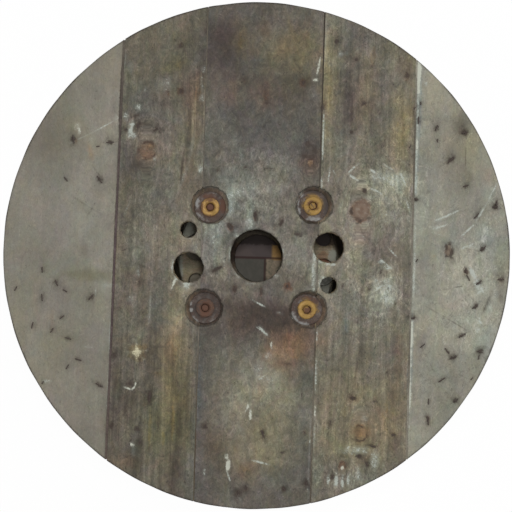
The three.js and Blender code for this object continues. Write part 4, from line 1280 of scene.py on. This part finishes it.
def shape_board(ply, number, low, high):
    """One board's closed mesh, cut to the flange's round, its joints, its holes and its recesses."""
    upper, outer = ply.startswith("upper"), ply.endswith("outer")
    across = 1 if upper else -1
    holes, recesses = holes_for(across)
    surface, seed = SURFACES[ply], ply_seed(ply)
    edges = [joint_edge(ply, number - 1, 1)] if number > 0 else []
    edges += [joint_edge(ply, number, -1)] if number < 4 else []

    def crossing(things):
        """Those whose round reaches into this board, turned to the board's own frame."""
        for i, (centre, radius, rough) in enumerate(things):
            p, q = centre if outer else centre[::-1]
            if all(edge.clear(np.array(p), np.array(q)) > -radius - 2 * MM for edge in edges):
                yield RoundCut((p, q), radius, rough * MM, seed + 20 + i)

    cuts = [RoundCut((0, 0), FLANGE_RADIUS, 0.7 * MM, 5, True), *edges, *crossing(holes)]
    bores = list(crossing([(centre, COUNTERBORE, 1.6) for centre in recesses])) if outer else []
    thickness = high.z - low.z
    depth = COUNTERBORE_DEPTH if outer else GROOVE_DEPTH
    if outer and number in (0, 4):
        depth -= PLY - thickness
    if not outer and number in (1, 2, 3):
        walls = [RoundCut((0, 0), radius, 0.2 * MM, seed + 70) for radius in (GROOVE_OUTSIDE, GROOVE_INSIDE)]
        bores = [RingCut(*walls)]
    details = surface.details()
    if not outer:
        details = details[:, ::-1]

    def relief(p, q, clear):
        x, y = (p, q) if outer else (q, p)
        ease = np.where(np.hypot(p, q) > FLANGE_RADIUS - 8 * MM, RIM_EASE, HOLE_EASE)
        ease = np.where(clearance(edges, p, q) < clear + 0.2 * MM, JOINT_EASE, ease)
        if outer and bores:
            ease = np.where(clearance(bores, p, q) < clear + 0.2 * MM, RECESS_EASE, ease)
        return surface.height(x, y, p, q, clear, ease)

    step = FACE_STEP if ply == "upper_outer" else PLAIN_STEP
    points, faces = board_shape(cuts, bores, depth, thickness, step, seed + 40 + number, details, relief)
    p, q, h = points.T
    x, y = (across * p, q) if outer else (across * q, p)
    z = high.z + h if upper == outer else low.z - h
    return closed_mesh(f"{ply}_plank_{number + 1}", np.stack([x, y, z], 1), faces)


def paint_board(mesh, ply, number, low, high):
    """Writes the grain, the marks, the painted light and the shade at every point of a board."""
    upper, outer = ply.startswith("upper"), ply.endswith("outer")
    across = 1 if upper else -1
    holes, recesses = holes_for(across)
    surface = SURFACES[ply]
    place = vertex_array(mesh)
    x, y = across * place[:, 0], place[:, 1]
    p, q = (x, y) if outer else (y, x)
    depth_in = high.z - place[:, 2] if upper == outer else place[:, 2] - low.z
    marks = surface.layers(x, y)
    fade = np.where(depth_in > 5 * MM, 0.25, 1.0)
    below = depth_in > 2.4 * MM
    sunk = below & within(x, y, [(centre, COUNTERBORE - 1 * MM) for centre in recesses])
    if ply == "upper_outer":
        # In the recesses the pale marks are partly painted light, and the dark marks, laid here as dirt, are
        # partly painted shade.
        for name, mask in zip(("ochre", "rust", "pale", "dirt"), soil(x, y).T):
            marks[name] = np.where(below, np.maximum(marks[name] * 0.3, mask / fade), marks[name])
        marks["rust"] = np.where(sunk, np.maximum(marks["rust"], 0.85 / fade), marks["rust"])
    layers = np.stack([marks[name] * fade for name in LAYERS], 1)
    deep = smooth_step(depth_in, 1.5 * MM, 9 * MM)
    # Painted light: the walls of the drive, pin and sleeve holes are made lighter, and so is the lower
    # flange's inner face from a little beyond the spindle hole out to the staves; the painted shade on those
    # walls and on the recess floors is lessened too.
    bored = within(x, y, [(centre, radius + 1.6 * MM) for centre, radius, _ in holes if radius < 30 * MM])
    painted_lit = np.where(bored, 0.7 * deep, 0.0)
    from_middle = np.hypot(x, y)
    if ply == "lower_inner":
        ring = smooth_step(from_middle, 58 * MM, 68 * MM)
        ring *= 1 - smooth_step(from_middle, GROOVE_INSIDE - 3 * MM, GROOVE_INSIDE)
        painted_lit = np.maximum(painted_lit, ring)
    deep *= 1 - 0.8 * bored - 0.55 * (sunk & ~bored)
    tone = surface.tone(x, y) * (1 + painted_lit[:, None] * PAINTED_LIGHT_INSIDE)
    rim = 1 - smooth_step(FLANGE_RADIUS - from_middle, 0.9 * MM, 2.4 * MM)
    rim *= np.where(depth_in < 1.5 * MM, 1.0, 0.45)
    write(
        mesh, stains=layers[:, :4], wear=layers[:, 4:], knot_field=surface.knot_field(x, y),
        grain=np.stack([surface.bend(p, q, outer) + 0.43 * number, q, depth_in], 1),
        streaky=surface.strongest(x, y, surface.streaked),
        tone=np.column_stack([tone, surface.strongest(x, y, surface.scuffed)]),
        shade=(1 - 0.4 * deep) * (1 - (0.92 if outer else 0.3) * rim),
    )


def make_board(ply, number):
    node = f"{ply}_board_{number + 1}"
    low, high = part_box(node)
    mesh = shape_board(ply, number, low, high)
    paint_board(mesh, ply, number, low, high)
    character, slot = INNER_CHARACTER, "inner_board"
    if ply.endswith("outer"):
        character = {name: values[number] for name, values in CHARACTER.items()}
        slot = "side_board" if number in (0, 4) else "face_board"
    finish = make_board_finish(node + " timber", tint(*PLIES[ply][1][number]), character)
    show(mesh.name, mesh, finish, slot, node)


for ply in PLIES:
    for number in range(5):
        make_board(ply, number)


# ------------------------ dirt packed in the joints

# Along each joint of the upper face: the place, the colour of what fills it, and how far below it lies.
UPPER_PACKING = (
    """-330 84 74 68 1, -120 80 70 68 1.6, 0 84 72 72 1.4, 180 78 70 66 1.6, 330 88 82 74 1.2""",
    """-390 82 74 60 .7, -300 74 64 52 .9, -180 92 85 74 .5, -120 106 100 90 .4, 60 112 108 100 .4,
       130 92 87 79 .5, 240 96 90 80 .4, 390 88 82 72 .6""",
    """-385 84 76 66 1.4, -240 104 99 88 1, -150 86 78 68 1.3, -40 112 108 98 .8, 60 88 84 76 1.2,
       190 70 64 58 1.6, 390 66 60 54 1.6""",
    """-310 112 106 94 1.3, -240 128 124 113 .8, -160 96 90 80 1.3, -60 118 114 104 .9, 80 106 101 91 1.2,
       180 84 78 69 1.6, 310 132 128 116 .9""",
)
PLAIN_PACKING = "-400 84 76 66 1.6, -90 96 88 77 1.2, 120 78 70 62 1.8, 400 88 80 70 1.4"


def make_dirt_finish():
    finish, w, shader = new_finish("packed dirt", 0.15)
    place = w.place()
    crumbs, clods = w.noise(place, 330, 4, 0.7), w.noise(place, 70, 3, 0.6)
    level = (crumbs - 0.5) * 1.6 + (clods - 0.5) * 1.5
    w.feed(shader["Base Color"], w.attribute("packing", "Color") * w.math("POWER", 2.0, level))
    w.feed(shader["Normal"], w.bumps(crumbs, 0.6 * MM))
    shader["Roughness"].default_value = 0.92
    return finish


def strip_of_dirt(low, high, q, stops, seed):
    """A closed strip along a run of a joint: its points, each with its colour, and its triangles."""
    count, wide = len(q), 5
    t = np.linspace(0, 1, wide)
    p = (low[:, None] * (1 - t) + high[:, None] * t).ravel()
    along = np.repeat(q, wide)
    places = [stop[0] * MM for stop in stops]
    down = np.interp(along, places, [stop[4] * MM for stop in stops])
    down = np.clip(down * (1 + 0.8 * cloud(p * 2, along, 11 * MM, seed, 3)), 0.25 * MM, 3 * MM)
    colour = [np.interp(along, places, [tint(*stop[1:4])[i] for stop in stops]) for i in range(3)]
    bottom = np.full_like(down, -PLY + 1 * MM)
    layers = [np.stack([p, along, height, *colour], 1) for height in (-down, bottom)]
    top = np.arange(count * wide).reshape(count, wide)
    under = top + count * wide
    rim = np.concatenate([top[:, 0], top[-1, 1:], top[-2::-1, -1], top[0, -2:0:-1]])
    after = np.roll(rim, -1)
    faces = []
    for layer, flip in ((top, False), (under, True)):
        corners = (layer[:-1, :-1], layer[:-1, 1:], layer[1:, 1:], layer[1:, :-1])
        for face in quads(*(part.ravel() for part in corners)):
            faces.append(face[:, ::-1] if flip else face)
    faces += quads(rim, rim + count * wide, after + count * wide, after)
    return np.concatenate(layers), np.concatenate(faces)


def pack_joints(ply, stops_of_joints):
    """Closed strips of dirt that fill a face's joints to just below it, broken at holes and recesses."""
    across = 1 if ply.startswith("upper") else -1
    holes, recesses = holes_for(across)
    open_places = [(centre, radius) for centre, radius, _ in holes]
    open_places += [(centre, COUNTERBORE) for centre in recesses]
    points, faces = np.zeros((0, 6)), []
    for number, stops in enumerate(stops_of_joints):
        at, _, slope = PLIES[ply][0][number]
        ends = []
        for side in (-1, 1):
            reach = 0.0
            for _ in range(3):
                reach = side * math.sqrt((FLANGE_RADIUS - 1 * MM) ** 2 - (at * MM + slope * MM * reach) ** 2)
            ends.append(reach)
        q = np.linspace(*ends, int((ends[1] - ends[0]) / (2 * MM)))
        low = joint_edge(ply, number, -1).place(q) - 0.3 * MM
        high = joint_edge(ply, number, 1).place(q) + 0.3 * MM
        middle, half = (low + high) / 2, (high - low) / 2
        free = ~within(middle, q, [(centre, radius + half + 0.8 * MM) for centre, radius in open_places])
        for run in np.split(np.arange(len(q)), np.flatnonzero(np.diff(free.astype(int))) + 1):
            if free[run[0]] and len(run) > 3:
                seed = ply_seed(ply) + number
                more, sides = strip_of_dirt(low[run], high[run], q[run], numbers(stops), seed)
                faces.append(sides + len(points))
                points = np.concatenate([points, more])
    points[:, 0] *= across
    points[:, 2] = (DRUM_LENGTH if across > 0 else 0.0) + across * points[:, 2]
    name = ply.split("_")[0] + "_joint_dirt"
    mesh = closed_mesh(name, points[:, :3], np.concatenate(faces), 60)
    write(mesh, packing=np.column_stack([points[:, 3:], np.ones(len(points))]))
    show(name, mesh, packed_dirt, "face_board")


packed_dirt = make_dirt_finish()
pack_joints("upper_outer", UPPER_PACKING)
pack_joints("lower_outer", (PLAIN_PACKING,) * 4)


# ------------------------ staves


def run_tree(tree, name, start, **values):
    """Runs a geometry tree on a start mesh and gives the result as a plain mesh."""
    carrier = bpy.data.objects.new(name + "_start", start)
    bpy.context.scene.collection.objects.link(carrier)
    modifier = carrier.modifiers.new("make", "NODES")
    modifier.node_group = tree
    for socket in tree.interface.items_tree:
        if socket.in_out == "INPUT" and socket.name in values:
            modifier[socket.identifier] = values[socket.name]
    carrier.update_tag()
    depsgraph = bpy.context.evaluated_depsgraph_get()
    made = bpy.data.meshes.new_from_object(carrier.evaluated_get(depsgraph), depsgraph=depsgraph)
    carrier.modifiers.clear()
    bpy.data.objects.remove(carrier)
    made.name = name
    return made


def make_stave_tree():
    """Staves in a ring: a block with rounded edges, tapered so that its sides meet its neighbours'."""
    t = Group("stave ring", {
        "Geometry": "Geometry", "Count": 14, "Outside": 0.16, "Thickness": 0.02, "Bottom": 0.03, "Top": 0.49,
        "Gap": 0.0008, "Round": 0.002, "Seed": 5, "Timber": "Material",
    }, {"Geometry": "Geometry"}, "Geometry")
    g = t.given
    half_turn = math.pi / g["Count"]
    middle = g["Outside"] - g["Thickness"] * 0.5
    half_width = middle * t.math("TANGENT", half_turn)
    counts = {"Vertices X": 6, "Vertices Y": 14, "Vertices Z": 84}
    block = t.node("GeometryNodeMeshCube", {"Size": (1, 1, 1), **counts})
    x, y, z = t.split(t.position())

    def crowd(value):
        """Draws the points nearer to the two ends."""
        return t.math("SINE", value * math.pi) * 0.5

    half = t.combine(g["Thickness"] * 0.5, half_width, (g["Top"] - g["Bottom"]) * 0.5)
    at = t.combine(crowd(x), crowd(y), z) * (half * 2)
    core, size = half - g["Round"], abs(at)
    beyond = t.math("MAXIMUM", size - core, (0, 0, 0))
    rounded = t.math("MINIMUM", size, core) + t.math("NORMALIZE", beyond) * g["Round"]
    sx, sy, sz = t.split(rounded * t.math("SIGN", at))
    sy = sy * ((middle + sx) / middle) * (1.0 - g["Gap"] / (half_width * 2))
    shaped = t.node("GeometryNodeSetPosition", {"Geometry": block, "Position": t.combine(sx, sy, sz)})
    hx, hy, hz = t.split(t.position())
    grained = t.store(shaped, "grain", t.combine(hy, hz, hx), "FLOAT_VECTOR")

    ring = t.node("GeometryNodeMeshCircle", {"Vertices": g["Count"], "Radius": middle})
    index = t.node("GeometryNodeInputIndex")
    turn = (index + 0.5) * (half_turn * 2)
    around = t.combine(
        t.math("COSINE", turn) * middle, t.math("SINE", turn) * middle, (g["Top"] + g["Bottom"]) * 0.5,
    )
    points = t.node("GeometryNodeMeshToPoints", {"Mesh": ring})
    set_out = t.node("GeometryNodeSetPosition", {"Geometry": points, "Position": around})
    stood = t.node("GeometryNodeInstanceOnPoints", {
        "Points": t.store(set_out, "stave", index), "Instance": grained,
        "Rotation": t.combine(0.0, 0.0, turn),
    })
    whole = t.node("GeometryNodeRealizeInstances", {"Geometry": stood})
    number = t.stored("stave")
    own = t.node("FunctionNodeRandomValue", {"ID": number, "Seed": g["Seed"]}, 1, data_type="FLOAT")
    whole = t.store(whole, "stave_tone", own)
    moved = t.stored("grain", "FLOAT_VECTOR") + t.combine(number * 0.37, own * 3.0, 0.0)
    whole = t.store(whole, "grain", moved, "FLOAT_VECTOR")
    rough = t.noise(t.stored("grain", "FLOAT_VECTOR") * (70, 5, 70), 1.0, 2.0, 0.5)
    normal = t.node("GeometryNodeInputNormal")
    nx, ny, _ = t.split(normal)
    ux, uy, _ = t.split(t.math("NORMALIZE", t.position() * (1, 1, 0)))
    sunk = normal * (rough * -0.0009 * abs(nx * ux + ny * uy))
    worn = t.node("GeometryNodeSetPosition", {"Geometry": whole, "Offset": sunk})
    return t.finish(Geometry=t.node("GeometryNodeSetMaterial", {"Geometry": worn, "Material": g["Timber"]}))


def make_stave_finish():
    finish, w, shader = new_finish("barrel stave", 0.25)
    wood = w.mix(w.attribute("stave_tone"), tint(104, 94, 78), tint(134, 123, 103))
    timber = w.group(sawn_timber, Grain=w.attribute("grain", "Vector"), Wood=wood, **INNER_CHARACTER)
    place = w.place()
    _, _, height = w.split(place)
    end = w.math("MINIMUM", height - INNER_FACE, DRUM_LENGTH - INNER_FACE - height)
    # The staves are darker towards each flange.
    darker_by_flanges = w.band(end + w.noise(place, 34, 3) * -0.03, -0.014, 0.03, 0.7, 0.0)
    colour = w.mix(darker_by_flanges, timber["Colour"], (0.4, 0.37, 0.34, 1), "MULTIPLY")
    rubbed = w.band(w.noise(place * (1, 1, 6), 14, 4, 0.6), 0.52, 0.7, 0.0, 0.5)
    w.feed(shader["Base Color"], w.mix(rubbed, colour, (0.62, 0.6, 0.6, 1), "MULTIPLY"))
    w.feed(shader["Roughness"], timber["Roughness"])
    w.feed(shader["Normal"], w.bumps(timber["Height"], TIMBER_BUMP))
    return finish


def make_staves():
    staves = [f"stave_{i + 1:02d}" for i in range(STAVE_COUNT)]
    mesh = run_tree(
        make_stave_tree(), "barrel_staves", bpy.data.meshes.new("empty"), Count=STAVE_COUNT,
        Outside=BARREL_RADIUS, Thickness=20 * MM, Bottom=stave_low.z, Top=stave_high.z, Gap=0.6 * MM,
        Round=2 * MM, Seed=5, Timber=make_stave_finish(),
    )
    mesh.shade_smooth()
    mesh.set_sharp_from_angle(angle=math.radians(50))
    show("barrel_staves", mesh, None, "stave", *staves)


def pack_staves():
    """Closed strips of dirt between the staves, just below their outer faces."""
    rows, half_width, deep = 70, 0.55 * MM, 9 * MM
    corner = BARREL_RADIUS / math.cos(math.pi / STAVE_COUNT)
    z = np.linspace(stave_low.z + 2 * MM, stave_high.z - 2 * MM, rows)
    points, faces = [], []
    for i in range(STAVE_COUNT):
        angle = 2 * math.pi * i / STAVE_COUNT
        outside = corner - (4.2 + 0.8 * cloud(z, z * 0 + i, 14 * MM, 77 + i)) * MM
        for down, side in ((0, 1), (0, -1), (deep, -1), (deep, 1)):
            radius, half = outside - down, side * half_width
            x = radius * math.cos(angle) - half * math.sin(angle)
            y = radius * math.sin(angle) + half * math.cos(angle)
            points.append(np.stack([x, y, z], 1))
        ids = (4 * i * rows + np.arange(4 * rows)).reshape(4, rows)
        for a, b in zip(ids, np.roll(ids, -1, axis=0)):
            faces += quads(a[:-1], b[:-1], b[1:], a[1:])
        for a, b, c, d in (ids[:, 0], ids[::-1, -1]):
            faces.append(np.array([[a, c, b], [a, d, c]]))
    mesh = closed_mesh("stave_joint_dirt", np.concatenate(points), np.concatenate(faces), 60)
    write(mesh, packing=np.tile(tint(62, 54, 47), (len(mesh.vertices), 1)))
    show("stave_joint_dirt", mesh, packed_dirt, "stave")


stave_low, stave_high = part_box("stave_01")
make_staves()
pack_staves()


# ------------------------ rods, washers and nuts


def turned(profile, centre, count, uneven=None):
    """A closed shape turned about a vertical axis from (radius, height) points, as vertices and triangles."""
    profile = np.array(profile, float)
    inner = profile[:, 0] > 1e-6
    angle = np.arange(count) * 2 * math.pi / count
    points, starts = [], []
    for (radius, height), ring in zip(profile, inner):
        starts.append(sum(len(part) for part in points))
        around = angle if ring else angle[:1]
        x, y = radius * np.cos(around), radius * np.sin(around)
        points.append(np.stack([x, y, np.full(len(around), height)], 1))
    faces = []
    last = len(profile) if inner.all() else len(profile) - 1
    for i in range(last):
        j = (i + 1) % len(profile)
        for k in range(count):
            n = (k + 1) % count
            a, b = (starts[i] + turn * inner[i] for turn in (k, n))
            c, d = (starts[j] + turn * inner[j] for turn in (n, k))
            if inner[i]:
                faces.append((a, b, c))
            if inner[j]:
                faces.append((a, c, d))
    points = np.concatenate(points)
    if uneven:
        points = uneven(points)
    points[:, 0] += centre[0]
    points[:, 1] += centre[1]
    return points, np.array(faces)


def dented(seed, amount, up):
    """Small dents and scale, mostly on the side that faces out."""

    def change(points):
        x, y, z = points.T
        field = 0.5 + 0.5 * cloud(x + z * 0.7, y - z * 0.4, 5 * MM, seed, 3)
        outward = np.hypot(x, y)
        points = points.copy()
        points[:, 2] -= up * amount * field
        scale = 1 - 0.4 * amount * field / np.maximum(outward, MM)
        points[:, :2] *= np.where(outward > MM, scale, 1)[:, None]
        return points

    return change


def soil_steel(mesh, upper, grime):
    """Writes what lies on a steel part: grime all over it, and on the upper face each place's own marks, with
    their painted light and shade.
    """
    place = vertex_array(mesh)
    on_face = upper & (place[:, 2] > DRUM_LENGTH - 16 * MM)
    write(mesh, soil=soil(place[:, 0], place[:, 1]) * on_face[:, None], grime=np.full(len(place), grime))


def thread(radius, start, end, pitch=1.75 * MM):
    """The crests and roots of a thread, as rings."""
    way = math.copysign(pitch, end - start)
    root = radius - 0.9 * MM
    for i in range(int(abs(end - start) / pitch)):
        for at, share in ((radius, 0), (radius, 0.2), (root, 0.5), (root, 0.7)):
            yield at, start + way * (i + share)


def make_rod(i):
    low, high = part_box(f"tie_rod_{i + 1}")
    radius = (high.x - low.x) / 2 - 0.05 * MM
    tip, chamfer, plain = radius * 0.55, radius - 1.2 * MM, radius - 0.7 * MM
    profile = [(0, low.z), (tip, low.z), (chamfer, low.z + 0.2 * MM)]
    profile += thread(radius, low.z + 1.6 * MM, low.z + 60 * MM)
    profile += [(plain, low.z + 62 * MM + t * (high.z - low.z - 124 * MM)) for t in np.linspace(0, 1, 24)]
    profile += list(thread(radius, high.z - 1.6 * MM, high.z - 60 * MM))[::-1]
    profile += [(chamfer, high.z - 0.2 * MM), (tip, high.z), (0, high.z)]
    points, faces = turned(profile, ROD_CENTRES[i], 24)
    mesh = closed_mesh(f"tie_rod_{i + 1}_turned", points, faces, 60)
    soil_steel(mesh, True, 0.0)
    show(mesh.name, mesh, rod_finish, "rusted_steel", f"tie_rod_{i + 1}")


def seat_of(node):
    """A washer's or nut's middle, outer radius, face and back, and which way it faces."""
    low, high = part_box(node)
    up = 1 if node.startswith("upper") else -1
    face, back = (high.z, low.z) if up > 0 else (low.z, high.z)
    middle = ((low.x + high.x) / 2, (low.y + high.y) / 2)
    return middle, (high.x - low.x) / 2 - 0.1 * MM, face, back, up


def make_washer(flange, i):
    node = f"{flange}_washer_{i + 1}"
    middle, outside, face, back, up = seat_of(node)
    bore = 9.3 * MM
    profile = [(bore, back), (bore, face - up * 0.5 * MM), (bore + 0.5 * MM, face)]
    profile += [(bore + (outside - bore) * t, face) for t in (0.15, 0.3, 0.45, 0.6, 0.75, 0.88)]
    profile += [(outside - 0.7 * MM, face), (outside, face - up * 0.8 * MM)]
    profile += [(outside, back + up * 0.5 * MM), (outside - 0.5 * MM, back)]
    points, faces = turned(profile, middle, 72, dented(i + 3, 0.35 * MM, up))
    mesh = closed_mesh(node + "_plate", points, faces, 40)
    soil_steel(mesh, up > 0, 0.0)
    show(mesh.name, mesh, washer_finish, "rusted_steel", node)


def make_nut(flange, i):
    node = f"{flange}_nut_{i + 1}"
    middle, outside, face, back, up = seat_of(node)
    sleeve, bore, seat = 8.7 * MM, 6.35 * MM, face - up * 3.5 * MM
    rounds = (  # the flange's face from its bore outwards: radius, and how far below the highest point
        (bore, 3.4), (bore + 0.5 * MM, 2.2), (bore + 1.5 * MM, 1.1), (bore + 2.3 * MM, 0.5),
        (bore + 3.2 * MM, 0.15), (outside * 0.72, 0.0), (outside * 0.84, 0.15),
        (outside - 1.1 * MM, 0.5), (outside - 0.35 * MM, 1.1), (outside, 1.9), (outside, 2.9),
    )
    profile = [(bore, back)]
    profile += [(radius, face - up * down * MM) for radius, down in rounds]
    profile += [(outside - 0.5 * MM, seat), (sleeve, seat), (sleeve, (seat + back) / 2), (sleeve, back)]
    points, faces = turned(profile, middle, 64, dented(i + 13, 0.25 * MM, up))
    mesh = closed_mesh(node + "_turned", points, faces, 45)
    soil_steel(mesh, up > 0, NUT_GRIME[flange][i])
    show(mesh.name, mesh, nut_finish, "yellow_zinc", node)


NUT_GRIME = {"upper": (0.0, 0.0, 0.4, 0.0), "lower": (0.08, 0.12, 0.05, 0.2)}
rod_finish = make_steel_finish("rusted rod", (96, 84, 74), (112, 74, 54), (62, 44, 37), 0.3, 0.36)
washer_finish = make_steel_finish("rusted washer", (92, 84, 78), (88, 72, 64), (66, 56, 51), 0.2, 0.44)
nut_finish = make_steel_finish("yellow plated nut", (158, 126, 68), (112, 80, 56), (78, 56, 44), 0.2, 0.6)
nail_finish = make_steel_finish("rusted nail", (86, 74, 66), (98, 70, 58), (66, 52, 46), 0.2, 0.4)
for i in range(4):
    make_rod(i)
    for flange in ("upper", "lower"):
        make_washer(flange, i)
        make_nut(flange, i)


# ------------------------ nails


def make_nail_tree():
    """Nails at points: short rusty wires that bend over and go back into the wood."""
    given = {"Geometry": "Geometry", "Wire": 0.0011, "Metal": "Material"}
    t = Group("clenched nails", given, {"Geometry": "Geometry"}, "Geometry")
    g = t.given
    bend = t.node("GeometryNodeCurvePrimitiveBezierSegment", {
        "Resolution": 6, "Start": (-0.5, 0, -0.6), "Start Handle": (-0.45, 0, 0.5),
        "End Handle": (0.35, 0, 0.35), "End": (0.5, 0, -0.25),
    })
    stretched = t.node("GeometryNodeTransform", {"Geometry": bend, "Scale": (0.0085, 0.0085, 0.0022)})
    ring = t.node("GeometryNodeCurvePrimitiveCircle", {"Resolution": 6, "Radius": g["Wire"]})
    wire = t.node("GeometryNodeCurveToMesh", {"Curve": stretched, "Profile Curve": ring, "Fill Caps": True})
    laid = t.node("GeometryNodeInstanceOnPoints", {
        "Points": t.node("GeometryNodeMeshToPoints", {"Mesh": g["Geometry"]}), "Instance": wire,
        "Rotation": t.combine(t.stored("flip"), 0.0, t.stored("turn")),
        "Scale": t.combine(t.stored("length"), 1.0, 1.0),
    })
    whole = t.node("GeometryNodeRealizeInstances", {"Geometry": laid})
    return t.finish(Geometry=t.node("GeometryNodeSetMaterial", {"Geometry": whole, "Material": g["Metal"]}))


def lay_nails(name, nails, height, up):
    start = bpy.data.meshes.new(name + "_points")
    start.from_pydata([(x * MM, y * MM, height) for x, y, *_ in nails], [], [])
    lengths = [(nail[3] if len(nail) > 3 else NAIL_LENGTH) / NAIL_LENGTH for nail in nails]
    turns = np.radians([nail[2] for nail in nails])
    write(start, turn=turns, length=lengths, flip=np.full(len(nails), 0.0 if up else math.pi))
    mesh = run_tree(nail_tree, name, start, Wire=0.85 * MM, Metal=nail_finish)
    mesh.shade_smooth()
    show(name, mesh, None, "rusted_steel")


NAIL_LENGTH = 5.2  # half the slit that a nail lies in, in millimetres
nail_tree = make_nail_tree()
lay_nails("upper_face_nails", UPPER_NAILS, DRUM_LENGTH - 2.2 * MM, True)
lower_nails = [(-x, y, 180 - turn, *rest) for x, y, turn, *rest in SURFACES["lower_outer"].nails]
lay_nails("lower_face_nails", lower_nails, 2.2 * MM, False)


# ------------------------ floor, light and camera

SCREEN = 0.8069  # what the frame takes in at the upper face, in metres
FRAME_WIDTH = 512  # in points
SENSOR = 36
EYE = (0.022, -0.034, 4.33)
TURN = math.radians(1.7)
LAMP_SCALE = 10.8  # watts a square metre that make a lamp as bright as plain light


def make_floor():
    """Paving and earth below the drum, as they show through its holes, with a painted shadow and a patch of
    painted light, and white all round it.
    """
    mesh = bpy.data.meshes.new("floor")
    rings = [0.0, 0.05, 0.1, 0.2, 0.4, 0.8, 1.6, 3.2, 7.0]
    points, faces = turned([(r, -0.6 * MM) for r in rings], (0, 0), 64)
    mesh.from_pydata(points.tolist(), [], faces.tolist())
    floor = bpy.data.objects.new("floor", mesh)
    bpy.context.scene.collection.objects.link(floor)
    finish, w, shader = new_finish("pale floor", 0.1)
    shader["Roughness"].default_value = 0.8
    place = w.place()
    x, y, _ = w.split(place)
    near = w.band(w.noise(place, 85, 4, 0.65, 0.6), 0.35, 0.65)
    far = w.band(w.noise(place, 30, 3), 0.35, 0.65)

    def either(first, second):
        return w.mix(near, tint(*first), tint(*second))

    def seam(from_it):
        return w.band(abs(from_it), 0.0008, 0.0035, 1, 0)

    front = w.band(y, 0.0, 0.002, 1, 0)
    slab = w.mix(far, tint(112, 102, 100), tint(122, 110, 106))
    slab = w.mix(front, slab, either((108, 106, 98), (116, 112, 104)))
    slab = w.mix(w.band(x, 0.012, 0.014) * front, slab, either((126, 124, 106), (182, 164, 142)))
    # Painted light: the ochre patch at the right of the spindle hole is made bright, as if lit.
    painted_lit_gold = w.band(x, 0.022, 0.028) * w.band(y, -0.004, 0.0)
    slab = w.mix(painted_lit_gold, slab, either((192, 154, 104), (216, 172, 108)))
    seams = w.most(seam(y - 0.001), seam(x - 0.013) * front)
    ground = w.mix(seams * 0.8, slab, tint(84, 62, 60))
    brown, grey = either((132, 96, 76), (168, 132, 108)), either((150, 142, 128), (196, 186, 170))
    earth = w.mix(w.band(y, 0.003, 0.011), brown, grey)
    earth = w.mix(w.band(y, -0.03, -0.024), either((150, 150, 138), (206, 204, 194)), earth)
    ground = w.mix(w.band(x, 0.066, 0.07), ground, earth)
    # Painted shadow: the ground is darker beyond y of about 25 mm, at the top of the spindle hole and of the
    # right drive hole.
    ground = w.mix(w.band(y + near * 0.003, 0.024, 0.028), ground, tint(84, 76, 73))
    ground = w.mix(w.band(x, -0.066, -0.06, 1, 0), ground, either((128, 120, 106), (142, 134, 118)))

    from_middle = w.node("ShaderNodeVectorMath", {0: place}, "Value", operation="LENGTH")
    under = w.band(from_middle, 0.19, 0.2, 1.0, 0.0)
    w.feed(shader["Base Color"], w.mix(under, tint(246, 246, 246), ground))
    lit = Value(w, shader["Base Color"].node.outputs[0])
    share = w.seen() * 0.975 * (1.0 - under)
    blend = w.node("ShaderNodeMixShader", {0: share, 1: lit, 2: w.node("ShaderNodeEmission")})
    w.feed(w.tree.nodes["Material Output"].inputs[0], blend)
    mesh.materials.append(finish)


def make_world(strength):
    world = bpy.data.worlds.new("soft white")
    world.use_nodes = True
    bpy.context.scene.world = world
    w = Wiring(world.node_tree)
    back = world.node_tree.nodes["Background"].inputs
    back["Color"].default_value = (1, 1, 1, 1)
    w.feed(back["Strength"], w.band(w.seen(), 0, 1, strength, 1.0))


def make_lamp(name, place, size, share):
    """A soft square lamp that lights a face turned to it with this share of plain light."""
    lamp = bpy.data.lights.new(name, "AREA")
    lamp.shape, lamp.size = "SQUARE", size
    away = Vector(place)
    aim = Vector((0, 0, DRUM_LENGTH)) - away
    lamp.energy = share * LAMP_SCALE * aim.length_squared / max(0.2, -aim.normalized().z)
    thing = bpy.data.objects.new(name, lamp)
    thing.location = away
    thing.rotation_euler = aim.to_track_quat("-Z", "Y").to_euler()
    bpy.context.scene.collection.objects.link(thing)


def make_camera():
    lens = bpy.data.cameras.new("camera")
    lens.sensor_width = SENSOR
    lens.lens = SENSOR * (EYE[2] - DRUM_LENGTH) / SCREEN
    across = (math.cos(TURN), math.sin(TURN))
    upward = (-math.sin(TURN), math.cos(TURN))
    lens.shift_x = -(EYE[0] * across[0] + EYE[1] * across[1]) / SCREEN - 0.4 / FRAME_WIDTH
    lens.shift_y = -(EYE[0] * upward[0] + EYE[1] * upward[1]) / SCREEN - 0.2 / FRAME_WIDTH
    lens.clip_start = 0.05
    camera = bpy.data.objects.new("camera", lens)
    camera.location = EYE
    camera.rotation_euler = (0, 0, TURN)
    bpy.context.scene.collection.objects.link(camera)
    bpy.context.scene.camera = camera


make_floor()
make_world(0.5)
make_lamp("key", (2.6, 2.9, 3.8), 1.6, 0.16)
make_lamp("head lamp", (0.03, 0.17, 4.4), 0.13, 0.23)
make_lamp("fill lamp", (0.07, -0.02, 4.4), 0.13, 0.15)
make_camera()
bpy.context.scene.view_settings.view_transform = "Standard"
